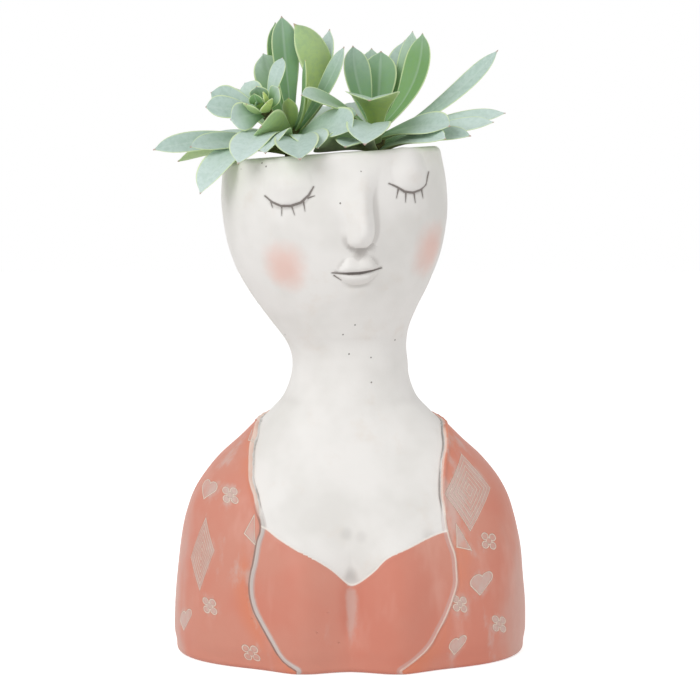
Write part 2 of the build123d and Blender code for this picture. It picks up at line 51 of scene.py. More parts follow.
# The photograph's camera: place in metres, tilt in degrees, and focal length and frame in pixels
CAMERA_PLACE = (0.0, -1.0, 0.254)
CAMERA_TILT = 5.84
CAMERA_FOCAL = 2004.0
FRAME_SIZE = 700.0
SENSOR_WIDTH = 36.0

# Outline of the casting, as in the frame: height share, half width, half depth, back and lobe shares
BUST_ROW_SHARES = (
    (0.000, 0.997, 1.00, 0.00, 0.72), (0.097, 1.000, 1.01, 0.00, 0.86), (0.194, 0.992, 1.00, 0.00, 1.00),
    (0.292, 0.980, 0.98, 0.00, 0.94), (0.389, 0.960, 0.96, 0.15, 0.62), (0.472, 0.930, 0.93, 0.35, 0.28),
    (0.542, 0.889, 0.885, 0.50, 0.10), (0.611, 0.818, 0.82, 0.65, 0.02), (0.667, 0.738, 0.757, 0.80, 0.00),
    (0.722, 0.638, 0.700, 1.00, 0.00), (0.778, 0.542, 0.650, 1.05, 0.00), (0.826, 0.462, 0.612, 1.05, 0.00),
)
NECK_ROW_SHARES = (
    (0.875, 1.170, 1.080, 1.00, 0.00), (0.917, 1.070, 1.035, 0.90, 0.00),
    (0.958, 1.015, 1.005, 0.80, 0.00), (1.000, 1.000, 1.000, 0.65, 0.00),
)
HEAD_ROW_SHARES = (
    (0.058, 0.521, 0.534, 0.10, 0.50), (0.115, 0.546, 0.558, 0.22, 0.35), (0.173, 0.595, 0.612, 0.36, 0.20),
    (0.231, 0.657, 0.675, 0.47, 0.10), (0.346, 0.782, 0.796, 0.59, 0.00), (0.462, 0.887, 0.892, 0.68, 0.00),
    (0.577, 0.957, 0.958, 0.75, 0.00), (0.692, 0.993, 0.992, 0.81, 0.00), (0.808, 1.000, 1.000, 0.89, 0.00),
    (0.913, 0.982, 0.985, 0.95, 0.00), (1.000, 0.957, 0.958, 1.00, 0.00),
)

# Sizes of the casting, as in the frame
PLANTER_HEIGHT = 0.250
NECK_LINE = 0.146
UNDERSIDE = 0.001
BUST_DEPTH = 0.104
NECK_WIDTH = 0.058
NECK_DEPTH = 0.056
HEAD_WIDTH = 0.112
HEAD_DEPTH = 0.106
HEAD_LEAN = 0.009
NECK_BACK = 0.003
HEAD_ROLL = 4.0
HEAD_YAW = 10.5
BUST_LOBE = 0.009
LOBE_SPREAD = 0.024
LOBE_SOFTNESS = 0.015
BUST_SQUARENESS = 2.25
HEAD_SQUARENESS = 2.08
BASE_ROUND = 0.0025
RIM_ROUND = 0.003
RIM_INNER_ROUND = 0.002
WALL = 0.009
FLOOR = 0.010
BOWL_TOP_RADIUS = 0.0455
BOWL_FLOOR_RADIUS = 0.031
BOWL_DEPTH = 0.073
NECK_BORE_RADIUS = 0.018
CHAMBER_HEIGHT = 0.112
DRAIN_BACK = 0.024
DRAIN_RADIUS = 0.008
RECESS_RADIUS = 0.013
RECESS_DEPTH = 0.004

# Height of the casting's lowest edge and of the stage's floor, and the casting's margin round the felt
SKIRT = 0.0003
FLOOR_HEIGHT = 0.0001
FELT_MARGIN = 0.0042
# Heights of the inner sections of the bust, and of its highest full one
CHAMBER_ROWS = (CHAMBER_HEIGHT, 0.104, 0.092, 0.080, 0.066, 0.050, 0.034, 0.020, UNDERSIDE + FLOOR)
CHAMBER_SHOULDER = 0.110
# Bowl's rings: their number and margins, and how far the edges of the inside are eased
BOWL_ROWS = 16
BOWL_MARGIN_TOP = 0.004
BOWL_MARGIN_FOOT = 0.002
RIM_EASE = 0.0002
BORE_EASE = 0.001
DRAIN_EASE = 0.0006

# Spacing of the casting's rings: on the bust, on the neck up to the chin, and on the face
BUST_STEP = 0.0011
NECK_STEP = 0.0014
FACE_STEP = 0.00075
CHIN_HEIGHT = 0.176

# Shawl: where its edge passes behind the neck, the share of the half width at which a lapel is at the
# side, how far the edge rises behind, the heights between which it becomes flatter, and what its relief
# and its roll lose there
NAPE_LINE = 0.1245
SIDE_REACH = 0.98
NAPE_RISE = 0.009
NAPE_FOOT = 0.112
NAPE_TOP = 0.124
NAPE_LOSS = 0.45
NAPE_ROLL_LOSS = 0.7
# The neckline ends on the lapels between these heights, and below them the rolled edge lies on the
# dress's side
HEM_LOW = 0.070
HEM_HIGH = 0.083
ROLL_SHIFT = 0.0021
CREASE_SHIFT = 0.0012
# Distances from an edge, above 0 under the garment: over which the shawl and the dress rise and where the
# dress ends at the shawl; the middles and widths of the shawl's rolled edge, its crease and the dress's bead
SHAWL_RISE = (-0.0003, 0.0011)
DRESS_RISE = (-0.0003, 0.0014)
DRESS_END = (-0.0008, 0.0004)
ROLL_PLACE, ROLL_WIDTH = 0.0011, 0.0009
CREASE_PLACE, CREASE_WIDTH, CREASE_DEPTH = -0.0007, 0.0005, 0.0005
BEAD_PLACE, BEAD_WIDTH, BEAD_HEIGHT = 0.0009, 0.0008, 0.00035
# Places from front to back between which the shawl's relief fades away, and what is lost of it
BACK_FADE = (0.030, 0.046)
BACK_LOSS = 0.95
# Heights between which the bust's relief grows out of the base, and its share at the base
BASE_FADE = (0.004, 0.012)
BASE_SHARE = 0.35
# Valley in the middle of the dress, and the line of its white wash: ends and widths
VALLEY_PLACE, VALLEY_WIDTH, VALLEY_DEPTH = 0.0010, 0.0046, 0.0022
VALLEY_FOOT = (0.008, 0.026)
VALLEY_TOP = (0.036, 0.058)
VALLEY_STROKE = ((0.001, -0.058, 0.052), (0.001, -0.062, 0.010), 0.0012, 0.0030)
# Faint crease under the chin: its place across, its half width, height, thickness and depth
CHIN_PLACE, CHIN_WIDTH = -0.002, 0.018
CHIN_LINE, CHIN_THICKNESS, CHIN_DEPTH = 0.1605, 0.0016, 0.00014
# Slow swells of the hand-finished cement: length, seed and share, and how many of each length are mixed
HAND_SWELLS = ((0.045, 4, 1.0), (0.017, 9, 0.45))
SWELLS_MIXED = 9
HAND_LOW = (0.003, 0.010)
HAND_HIGH = (0.246, PLANTER_HEIGHT)
# Radius round the nose's left flank that stays free of the painted shade of the hollows
FLANK_RADIUS = 0.0110
# Heights at which the paint of the head and of the bust meet, the bust's relief ends, and the face begins
PAINT_LINE = 0.1475
NECK_LOW = 0.150
FACE_LOW = 0.16
# Columns of the casting's rings between the lapels and on each side from a lapel to the middle of the back,
# how much they gather at the lapels and spread towards the back, their turns above the shawl, and the rows
# on each side over which they are smoothed
FRONT_COLUMNS = 180
SIDE_COLUMNS = 78
LAPEL_GATHER = 0.22
BACK_SPREAD = 1.8
NAPE_TURN = 88
NECK_TURN = 78
SMOOTH_ROWS = 3
# A place well outside the casting, and the room round a drawn eye or mouth that takes its own material
OUTSIDE = 0.3
DRAWN_MARGIN = 0.004

# Edges and lines, by pixel of the photograph, each laid on the casting where that pixel sees it
LEFT_LAPEL = (
    (281.6, 400), (264.6, 417), (257.5, 436), (254, 447), (252.6, 465), (253, 481), (257.5, 497), (260, 513),
    (261.5, 530), (257.8, 542), (254.7, 561), (251, 577), (250.6, 593), (254.7, 610), (261.8, 624),
    (273, 643.5), (283, 660), (297, 671),
)
RIGHT_LAPEL = (
    (423.7, 400), (431, 407), (439, 420), (443, 434.6), (444, 447), (442, 461), (440.6, 479), (441, 497),
    (444.6, 513), (449, 536), (455, 554), (456.6, 569), (457, 583), (453, 597.6), (446, 616), (438, 631),
    (429.6, 645.5), (417, 659), (402, 671),
)
NECKLINE = (
    (240, 522), (262.5, 527), (279, 539), (296, 550), (318.6, 562), (332.6, 571), (346.6, 583), (352, 585.5),
    (361, 581.5), (375, 571), (387, 559), (408, 548.6), (436, 534.5), (460, 528),
)
LEFT_LID = ((265, 196), (272, 202), (281, 206), (291, 206), (301, 202.5), (309, 195), (313.5, 187))
RIGHT_LID = (
    (389, 183.5), (397, 187), (404.6, 191.6), (413, 192.6), (420, 190), (425.6, 184.5), (428.6, 172),
)
LEFT_LASHES = (
    ((270.5, 201), (272.5, 207.5)), ((281.7, 206), (281.7, 215.5)), ((291.5, 206), (294.6, 215)),
    ((303.5, 202), (305, 211)), ((308, 198), (314.5, 196)),
)
RIGHT_LASHES = (
    ((398.5, 188.5), (396.5, 198)), ((406, 192), (405.6, 202)), ((414, 192.6), (415.4, 202.5)),
    ((421.5, 189.5), (423, 198)),
)
MOUTH = ((332, 273), (340, 273.4), (349, 273.8), (359, 273), (368, 271.5), (381.6, 268))
MOUTH_CREASE = ((334, 275.5), (341, 280))
# Half widths of the brush strokes in metres, and the share of the depth that they follow
LEFT_LID_WIDTH = 0.00050
RIGHT_LID_WIDTH = 0.00045
LASH_WIDTHS = (0.00042, 0.00010)
MOUTH_WIDTHS = (0.0002, 0.0004, 0.00055, 0.0007, 0.0005, 0.0002)
CREASE_WIDTHS = (0.0003, 0.0001)
DRAWN_DEPTH = (1.0, 0.3, 1.0)
# Blushes: pixel and radius
BLUSHES = (((284, 267), 0.0135), ((431, 249), 0.0150))
HEAD_SPECKS = (
    (340.3, 203.3), (343, 334.5), (349, 354), (371, 357.5), (395, 340), (355, 325), (285, 334.5), (262, 163),
    (266, 166.5),
)
NOSE_FLANK = (339, 221)
# Painted shade round given spots, under the nose and on the chest by the neckline: pixel, radius and
# strength
UNDER_NOSE_SHADE = (((361, 251), 0.0052, 0.50), ((352, 248), 0.0034, 0.34), ((371, 246), 0.0044, 0.30))
CHEST_SHADE = (
    ((346, 534), 0.0048, 0.16), ((361, 537), 0.0042, 0.13), ((352, 575), 0.0050, 0.22),
    ((428, 535), 0.0052, 0.15),
)

# Relief of the face, in metres from a pixel. Eyes: pixel and half width, and how far they reach down and
# up and stand out
EYES = (((287, 188), 0.0128), ((411, 173), 0.0122))
EYE_DROP = 0.0094
EYE_RISE = 0.0150
EYE_DEPTH = 0.0042
EYE_LEAN = 6
# The dome's power where it is soft, and what it loses between these shares of the way down to the lid
EYE_SOFTNESS = 1.75
EYE_STEEPENING = 1.05
EYE_STEEP = (0.10, 0.75)
# Nose: its tip, and its half widths to the left and right and its depth by height over the tip
NOSE_TIP = (360, 229)
NOSE_LEAN = -1
NOSE_ROWS = (
    (-0.0095, 0.0040, 0.0036, 0.0), (-0.0070, 0.0056, 0.0056, 0.0058), (-0.003, 0.0070, 0.0068, 0.0100),
    (0.002, 0.0082, 0.0068, 0.0106), (0.008, 0.0112, 0.0064, 0.0082), (0.015, 0.0136, 0.0064, 0.0050),
    (0.024, 0.0155, 0.0086, 0.0022), (0.034, 0.0170, 0.0120, 0.0),
)
# Section of the nose: powers of its round tip, width and end of its soft ridge as shares of the half width,
# and the share of the round tip on each side, with the heights over the tip between which it fades
TIP_SQUARENESS = 2.1
TIP_FULLNESS = 0.80
RIDGE_WIDTH_SHARE = 0.66
RIDGE_END_SHARES = (1.0, 1.7)
LEFT_TIP_SHARE = 0.80
LEFT_TIP_FADE = (-0.007, -0.001)
RIGHT_TIP_SHARE = 0.65
RIGHT_RIDGE_SHARE = 0.30
RIGHT_TIP_FADE = (-0.001, 0.010)
# Mouth: its middle, how it bends, and the height and depth of its lips and of the hollows round them
MOUTH_CENTRE = (358.5, 272)
MOUTH_LEAN = 5
MOUTH_BEND = 7.0
UPPER_LIP_HEIGHT = 0.0080
UPPER_LIP_DEPTH = 0.0030
LOWER_LIP_HEIGHT = 0.0074
LOWER_LIP_DEPTH = 0.0026
LOWER_LIP_REACH = 0.0116
MOUTH_CUT = 0.0007
LIP_HOLLOW = 0.0006
# Upper lip: depth and width of the dip in its top, where and how fast the top falls to the sides, and its
# least height; the powers that give both lips their swell; the places across at which lips and cut end
BOW_DIP, BOW_WIDTH = 0.0015, 0.0021
BOW_REACH, BOW_FALL, BOW_POWER = 0.0042, 30, 1.6
UPPER_LIP_LEAST = 0.0016
UPPER_LIP_SWELL = (0.66, 0.9)
LOWER_LIP_SWELL = 0.62
LOWER_LIP_ROUND = 0.85
LOWER_LIP_LEAST_SHARE = 0.02
UPPER_LIP_END = (-0.0118, -0.0050)
LOWER_LIP_END = (-0.0108, -0.0035)
MOUTH_CUT_END = (-0.0125, -0.0105)
MOUTH_CUT_HEIGHT = 0.0006
# Hollows above and below the lips: width, height over the mouth and how tall
UPPER_HOLLOW = (0.0024, 0.0093, 0.0022)
LOWER_HOLLOW = (0.0060, -0.0078, 0.0016)


def pixel_ray(x, y):
    """Direction from the photograph's camera through a pixel."""
    tilt = math.radians(CAMERA_TILT)
    right = np.array((1.0, 0.0, 0.0))
    forward = np.array((0.0, math.cos(tilt), -math.sin(tilt)))
    upward = np.array((0.0, math.sin(tilt), math.cos(tilt)))
    half = FRAME_SIZE / 2
    way = forward + right * ((x - half) / CAMERA_FOCAL) - upward * ((y - half) / CAMERA_FOCAL)
    return Vector(way / np.linalg.norm(way))


def smooth_rows(places, rows, at):
    """Rows of a table at any places, on a smooth curve through them."""
    places = np.asarray(places, float)
    rows = np.asarray(rows, float)
    slopes = np.gradient(rows, places, axis=0)
    at = np.asarray(at, float)
    low = np.clip(np.searchsorted(places, at, side="right") - 1, 0, len(places) - 2)
    step = places[low + 1] - places[low]
    t = (at - places[low]) / step
    shape = (len(at),) + (1,) * (rows.ndim - 1)
    t, step = t.reshape(shape), step.reshape(shape)
    return ((2 * t ** 3 - 3 * t ** 2 + 1) * rows[low] + (t ** 3 - 2 * t ** 2 + t) * step * slopes[low]
            + (3 * t ** 2 - 2 * t ** 3) * rows[low + 1] + (t ** 3 - t ** 2) * step * slopes[low + 1])


def fade(value, low, high):
    """0 below low and 1 above high, with a smooth step between."""
    t = np.clip((value - low) / (high - low), 0, 1)
    return t * t * (3 - 2 * t)


def station_table(bust_width):
    """Level sections: half width, half depth, side, back, lobe, squareness and turn, by height."""
    heights, rows = [], []
    for shares, full_width, full_depth, lobe_size, square in (
            (BUST_ROW_SHARES, bust_width, BUST_DEPTH, BUST_LOBE, BUST_SQUARENESS),
            (NECK_ROW_SHARES, NECK_WIDTH, NECK_DEPTH, 0, HEAD_SQUARENESS)):
        for height, width, depth, back, lobe in shares:
            heights.append(UNDERSIDE + height * (NECK_LINE - UNDERSIDE))
            rows.append((width * full_width / 2, depth * full_depth / 2, 0, back * NECK_BACK,
                         lobe * lobe_size, square, 0))
    for height, width, depth, lean, back in HEAD_ROW_SHARES:
        heights.append(NECK_LINE + height * (PLANTER_HEIGHT - NECK_LINE))
        rows.append((width * HEAD_WIDTH / 2, depth * HEAD_DEPTH / 2, -lean * HEAD_LEAN, back * NECK_BACK, 0,
                     HEAD_SQUARENESS, lean))
    return np.array(heights), np.array(rows)


def turned(points, yaw, roll):
    """Points turned about Z and then leaned about Y, angles in degrees, one per row."""
    c, s = np.cos(np.radians(yaw)), np.sin(np.radians(yaw))
    x = points[..., 0] * c - points[..., 1] * s
    y = points[..., 0] * s + points[..., 1] * c
    z = points[..., 2]
    c, s = np.cos(np.radians(roll)), np.sin(np.radians(roll))
    return np.stack((x * c - z * s, y, x * s + z * c), -1)


def sections(table, heights, angles, grow=0.0):
    """Rings of the casting at the given heights; angle 0 is the front and angles grow towards +X."""
    width, depth, side, back, lobe, square, turn = (
        column[:, None] for column in smooth_rows(table[0], table[1], heights).T)
    grow = np.asarray(grow, float).reshape(-1, 1)
    across, along = np.sin(angles), -np.cos(angles)
    x = np.sign(across) * np.abs(across) ** (2 / square) * (width + grow)
    y = np.sign(along) * np.abs(along) ** (2 / square) * (depth + grow)
    fullness = np.exp(-((np.abs(x) - LOBE_SPREAD) / LOBE_SOFTNESS) ** 2)
    y = y + np.where(along < 0, lobe * fullness * along, 0)
    ring = turned(np.stack((x, y, np.zeros_like(x)), -1), turn * HEAD_YAW, turn * HEAD_ROLL)
    ring[..., 0] += side
    ring[..., 1] += back
    ring[..., 2] += np.asarray(heights)[:, None]
    return ring


HEAD_AXIS = np.array((-math.sin(math.radians(HEAD_ROLL)), 0.0, math.cos(math.radians(HEAD_ROLL))))
RIM_CENTRE = np.array((-HEAD_LEAN, 0.0, PLANTER_HEIGHT))


def flat_ring(centre, radius, angles):
    """Level round ring."""
    return np.array(centre) + np.stack((np.sin(angles), -np.cos(angles), np.zeros_like(angles)), -1) * radius


def head_ring(height, radius, angles):
    """Round ring square to the head's axis, at a height above the bowl's floor."""
    ring = turned(flat_ring((0, 0, 0), radius, angles), HEAD_YAW, HEAD_ROLL)
    return RIM_CENTRE + HEAD_AXIS * (height - BOWL_DEPTH) + ring


def grid_normals(grid):
    """Outward unit normals of a grid of rings."""
    around = np.roll(grid, -1, 1) - np.roll(grid, 1, 1)
    up = np.gradient(grid, axis=0)
    normal = np.cross(around, up)
    return normal / np.maximum(np.linalg.norm(normal, axis=-1, keepdims=True), 1e-12)


def grid_tree(grid):
    """Search tree over a grid of rings."""
    rows, columns = grid.shape[:2]
    corner = np.arange(rows * columns).reshape(rows, columns)
    nxt = np.roll(corner, -1, 1)
    faces = np.stack((corner[:-1], nxt[:-1], nxt[1:], corner[1:]), -1).reshape(-1, 4)
    return BVHTree.FromPolygons(grid.reshape(-1, 3).tolist(), faces.tolist())


def on_skin(tree, x, y):
    """Point and normal of the surface that a pixel of the photograph sees."""
    start, way = Vector(CAMERA_PLACE), pixel_ray(x, y)
    place, normal = tree.ray_cast(start, way)[:2]
    if place is None:
        place, normal = tree.find_nearest(start - way * (start.y / way.y))[:2]
    return np.array(place), np.array(normal)


def trace(tree, pixels, steps=12):
    """Smooth line over the surface through pixels of the photograph."""
    corners = np.array([on_skin(tree, *pixel)[0] for pixel in pixels])
    marks = np.arange(len(corners))
    return smooth_rows(marks, corners, np.linspace(0, len(corners) - 1, steps * (len(corners) - 1) + 1))


def distance_to(points, line):
    """Distance from each point to a line of close points."""
    a, b = line[:-1], line[1:]
    way = b - a
    long = np.maximum((way ** 2).sum(-1), 1e-18)
    best = np.empty(len(points))
    for start in range(0, len(points), 2000):
        some = points[start:start + 2000, None]
        t = np.clip(((some - a) * way).sum(-1) / long, 0, 1)
        best[start:start + 2000] = np.linalg.norm(some - a - way * t[..., None], axis=-1).min(1)
    return best


def unevenness(points, wave, seed):
    """Slow swells of a hand-made surface, about -1 to 1."""
    rng = np.random.default_rng(seed)
    total = 0
    for _ in range(SWELLS_MIXED):
        way = rng.normal(size=3)
        way *= 2 * math.pi / (wave * rng.uniform(0.7, 1.6) * np.linalg.norm(way))
        total = total + np.sin(points @ way + rng.uniform(0, 2 * math.pi))
    return total / (SWELLS_MIXED / 2)


def new_mesh(name, points, faces, smooth=True):
    mesh = bpy.data.meshes.new(name)
    mesh.from_pydata(points.tolist() if hasattr(points, "tolist") else points, [],
                     faces.tolist() if hasattr(faces, "tolist") else faces)
    mesh.update()
    if smooth:
        mesh.shade_smooth()
    piece = bpy.data.objects.new(name, mesh)
    bpy.context.scene.collection.objects.link(piece)
    return piece


def point_values(piece, name, values):
    """Store one number per point of a mesh, for its paint."""
    layer = piece.data.attributes.new(name, "FLOAT", "POINT")
    layer.data.foreach_set("value", np.asarray(values, np.float32).ravel())


# Shader pieces

class Term:
    """Output of a shader node, which is added, multiplied and so on as a number is."""

    def __init__(self, socket):
        self.socket = socket
        self.tree = socket.id_data

    def __add__(self, other):
        return calc("ADD", self, other)

    def __sub__(self, other):
        return calc("SUBTRACT", self, other)

    def __rsub__(self, other):
        return calc("SUBTRACT", other, self)

    def __mul__(self, other):
        return calc("MULTIPLY", self, other)

    def __truediv__(self, other):
        return calc("DIVIDE", self, other)

    def __pow__(self, other):
        return calc("POWER", self, other)

    def __abs__(self):
        return calc("ABSOLUTE", self)


def add(tree, kind, inputs=None, **settings):
    """New node with its settings and with what goes into it."""
    made = tree.nodes.new(kind)
    for name, value in settings.items():
        setattr(made, name, value)
    for name, value in (inputs or {}).items():
        plug(made.inputs[name], value)
    return made


def plug(socket, value):
    """Link a term to a socket, or give the socket a constant; a colour of three numbers is opaque."""
    if isinstance(value, Term):
        value.tree.links.new(value.socket, socket)
    elif hasattr(value, "__len__"):
        socket.default_value = (*value, 1)[:len(socket.default_value)]
    else:
        socket.default_value = value


def calc(operation, *values, clamp=False):
    tree = next(value.tree for value in values if isinstance(value, Term))
    made = add(tree, "ShaderNodeMath", dict(enumerate(values)), operation=operation, use_clamp=clamp)
    return Term(made.outputs[0])


def largest(first, second):
    return calc("MAXIMUM", first, second)


def smallest(first, second):
    return calc("MINIMUM", first, second)


def vector_calc(operation, *values):
    made = add(values[0].tree, "ShaderNodeVectorMath", dict(enumerate(values)), operation=operation)
    return Term(made.outputs["Value" if operation in ("DOT_PRODUCT", "LENGTH", "DISTANCE") else "Vector"])


def ramp(value, low, high, start=0.0, end=1.0):
    """Smooth step of a term: start at low and before it, end at high and past it."""
    made = add(value.tree, "ShaderNodeMapRange", interpolation_type="SMOOTHSTEP", inputs={
        "Value": value, "From Min": low, "From Max": high, "To Min": start, "To Max": end})
    return Term(made.outputs["Result"])


def mix(factor, first, second):
    """First colour where the factor is 0, second where it is 1."""
    made = add(factor.tree, "ShaderNodeMix", {0: factor, 6: first, 7: second}, data_type="RGBA")
    return Term(made.outputs[2])


def speckle(place, scale, detail=2.0, roughness=0.5, upright=None):
    """Cloudy grain between 0 and 1; a value of upright below 1 draws it out upwards."""
    if upright:
        place = vector_calc("MULTIPLY", place, (1.0, 1.0, upright))
    made = add(place.tree, "ShaderNodeTexNoise", {
        "Vector": place, "Scale": scale, "Detail": detail, "Roughness": roughness})
    return Term(made.outputs["Fac"])


def fine_grain(place):
    return speckle(place, 420.0, 4.0, 0.6)


def swing(value, reach):
    """A value between 0 and 1, such as a grain, as one about 0 that is reach wide from end to end."""
    return (value - 0.5) * reach


def cells(place, scale):
    """Random cells: distance from the nearest one's middle, and a chance that each has of its own."""
    made = add(place.tree, "ShaderNodeTexVoronoi", {"Vector": place, "Scale": scale})
    chance = add(place.tree, "ShaderNodeSeparateColor", {"Color": Term(made.outputs["Color"])})
    return Term(made.outputs["Distance"]), Term(chance.outputs[0])


def attribute(place, name):
    return Term(add(place.tree, "ShaderNodeAttribute", attribute_name=name).outputs["Fac"])


def new_material(name):
    """New material, its shader, and the place on the piece."""
    material = bpy.data.materials.new(name)
    material.use_nodes = True
    shader = next(node for node in material.node_tree.nodes if node.type == "BSDF_PRINCIPLED")
    return material, shader, Term(add(material.node_tree, "ShaderNodeTexCoord").outputs["Object"])


def rough_bump(shader, height, distance, strength=1.0):
    """Bump from a height between 0 and 1, that distance deep in metres."""
    made = add(height.tree, "ShaderNodeBump", {"Height": height, "Distance": distance, "Strength": strength})
    plug(shader.inputs["Normal"], Term(made.outputs["Normal"]))


def rgb(*seen):
    """Colour as it looks on a screen, 0 to 255, as the linear one that a shader takes."""
    return tuple((c / 255 / 12.92) if c <= 10 else ((c / 255 + 0.055) / 1.055) ** 2.4 for c in seen)


def new_group(name, vectors, numbers, results):
    """New node group: itself, the terms that come into it, and the sockets of its results."""
    group = bpy.data.node_groups.new(name, "ShaderNodeTree")
    for names, side, kind in ((vectors, "INPUT", "NodeSocketVector"), (numbers, "INPUT", "NodeSocketFloat"),
                              (results, "OUTPUT", "NodeSocketFloat")):
        for socket in names:
            group.interface.new_socket(socket, in_out=side, socket_type=kind)
    outputs = group.nodes.new("NodeGroupInput").outputs
    given = {socket: Term(outputs[socket]) for socket in (*vectors, *numbers)}
    return group, given, group.nodes.new("NodeGroupOutput").inputs


def use_group(group, place, values):
    """Outputs of a node group that is used at a place, with the given values."""
    made = place.tree.nodes.new("ShaderNodeGroup")
    made.node_tree = group
    for name, value in {"Place": place, **values}.items():
        plug(made.inputs[name], value)
    return made.outputs


def stroke_group():
    """Brush stroke between two points of the surface: distance outside it, in metres."""
    group, given, results = new_group("brush_stroke", ("Place", "Start", "Way"),
                                      ("Per length", "Start width", "Thinning"), ("Distance",))
    from_start = vector_calc("SUBTRACT", given["Place"], given["Start"])
    along = vector_calc("DOT_PRODUCT", from_start, given["Way"])
    share = calc("MULTIPLY", along, given["Per length"], clamp=True)
    scaled = add(group, "ShaderNodeVectorMath", {0: given["Way"], "Scale": share}, operation="SCALE")
    away = vector_calc("LENGTH", vector_calc("SUBTRACT", from_start, Term(scaled.outputs["Vector"])))
    plug(results["Distance"], away - (given["Start width"] - given["Thinning"] * share))
    return group


def stroke(place, start, end, start_width, end_width):
    """Distance outside a brush stroke between two points, from its half widths at them."""
    way = np.asarray(end) - np.asarray(start)
    group = bpy.data.node_groups.get("brush_stroke") or stroke_group()
    return Term(use_group(group, place, {
        "Start": start, "Way": way, "Per length": 1 / float(way @ way),
        "Start width": start_width, "Thinning": start_width - end_width})["Distance"])


def nearest_of(terms):
    best = terms[0]
    for term in terms[1:]:
        best = smallest(best, term)
    return best


def outside_circle(x, y, radius):
    return calc("SQRT", x ** 2.0 + y ** 2.0) - radius


def diamond(x, y):
    return x + abs(y) - 1.0


def heart(x, y):
    point = (x * 1.144 - (y + 1.0)) * 0.658
    notch = (y + x * 0.733 - 0.69) * 0.806
    return smallest(largest(point, notch), outside_circle(x - 0.48, y - 0.40, 0.56))


def petals(x, y):
    up = abs(y)
    return smallest(outside_circle(x - 0.52, up - 0.52, 0.42), outside_circle(x, up, 0.40))


def triangle(x, y):
    return largest(x * 0.9 + y * 0.45, y * -1.0) - 0.5


# Signed distance of each ornament in its own unit square, from the place across, without its sign, and up
ORNAMENTS = {"diamond": diamond, "heart": heart, "petals": petals, "triangle": triangle}
DIAMOND_RINGS = 6.0
ORNAMENT_REACH = 2.2


def ornament_group(kind):
    """One scratched ornament on the surface: signed distance inside it and from its line, in metres."""
    group, given, results = new_group("ornament_" + kind, ("Place", "Centre", "Across", "Upward"), ("Size",),
                                      ("Fill", "Line"))
    away = vector_calc("SUBTRACT", given["Place"], given["Centre"])
    x = abs(vector_calc("DOT_PRODUCT", away, given["Across"]))
    y = vector_calc("DOT_PRODUCT", away, given["Upward"])
    shape = ORNAMENTS[kind](x, y)
    if kind == "diamond":
        ripple = abs(calc("FRACT", (shape + 1.0) * DIAMOND_RINGS) - 0.5)
        line = largest((0.5 - ripple) * (1 / DIAMOND_RINGS), shape - 0.02)
    else:
        line = abs(shape)
    # the surface on the casting's other side, over which the ornament's axes would also pass, stays free
    beyond = vector_calc("LENGTH", away) / given["Size"] - ORNAMENT_REACH
    for name, value in (("Fill", shape), ("Line", line)):
        plug(results[name], largest(value, beyond) * given["Size"])
    return group


def ornament(place, kind, centre, across, upward):
    """One ornament on the casting, from its centre and its half width and half height as vectors."""
    normal = np.cross(across, upward)
    normal /= np.linalg.norm(normal)
    first, second = np.linalg.inv(np.stack((across, upward, normal))).T[:2]
    group = bpy.data.node_groups.get("ornament_" + kind) or ornament_group(kind)
    outputs = use_group(group, place, {
        "Centre": centre, "Across": first, "Upward": second,
        "Size": (np.linalg.norm(across) * np.linalg.norm(upward)) ** 0.5})
    return Term(outputs["Fill"]), Term(outputs["Line"])


# Ornaments that the photograph shows, by pixel: kind, centre, end of the half width, top
SEEN_MOTIFS = (
    ("heart", (207.5, 489.5), (214.8, 492.6), (211.6, 480.5)),
    ("petals", (230, 495), (238, 496), (229.5, 487)),
    ("diamond", (201.5, 554), (214, 550.5), (205.8, 518)),
    ("triangle", (251, 531.5), (258, 538.5), (254, 516.5)),
    ("triangle", (251, 437), (257, 440), (252, 430)),
    ("petals", (209.5, 606), (216.5, 607.5), (208.5, 598)),
    ("heart", (184.8, 620), (190.6, 618), (186, 610)),
    ("petals", (251, 653), (259, 654), (249, 645)),
    ("diamond", (469.5, 490), (490, 488), (461.5, 454)),
    ("triangle", (462, 541), (471, 543), (457, 526)),
    ("petals", (489, 541), (496, 542), (488.5, 533)),
    ("heart", (481.3, 584), (491.5, 581), (482.5, 573)),
    ("petals", (460, 604), (467, 605), (459.5, 596)),
    ("petals", (499.5, 624), (506, 625), (499, 616)),
    ("heart", (457, 646), (465, 643), (459, 637)),
    ("triangle", (501, 479), (505, 484), (498.5, 470)),
)
# The same ornaments on the sides and back: kind, turn from the front, height, half width, half height, lean
BACK_MOTIFS = (
    ("petals", 97, 0.066, 0.0042, 0.0042, 10), ("heart", 108, 0.096, 0.0055, 0.0055, -8),
    ("diamond", 126, 0.062, 0.0115, 0.0190, 6), ("petals", 118, 0.026, 0.0042, 0.0042, 0),
    ("triangle", 141, 0.030, 0.0060, 0.0060, -12), ("heart", 150, 0.104, 0.0055, 0.0055, 10),
    ("petals", 163, 0.078, 0.0044, 0.0044, 20), ("heart", 168, 0.036, 0.0062, 0.0062, -6),
    ("diamond", 184, 0.062, 0.0110, 0.0185, -4), ("petals", 178, 0.108, 0.0042, 0.0042, 8),
    ("petals", 196, 0.026, 0.0042, 0.0042, -6), ("triangle", 207, 0.098, 0.0058, 0.0058, 9),
    ("heart", 216, 0.056, 0.0058, 0.0058, 6), ("petals", 226, 0.084, 0.0044, 0.0044, 0),
    ("heart", 232, 0.022, 0.0055, 0.0055, -10), ("diamond", 245, 0.060, 0.0100, 0.0175, 4),
    ("petals", 262, 0.030, 0.0042, 0.0042, 12), ("petals", 258, 0.094, 0.0040, 0.0040, -15),
)


# cream of the painted highlight on the shawl's rolled edge
EDGE_HIGHLIGHT = rgb(240, 226, 214)
SCRATCH_COLOUR = rgb(234, 216, 200)
SPOT_SHADE_COLOUR = rgb(138, 131, 126)


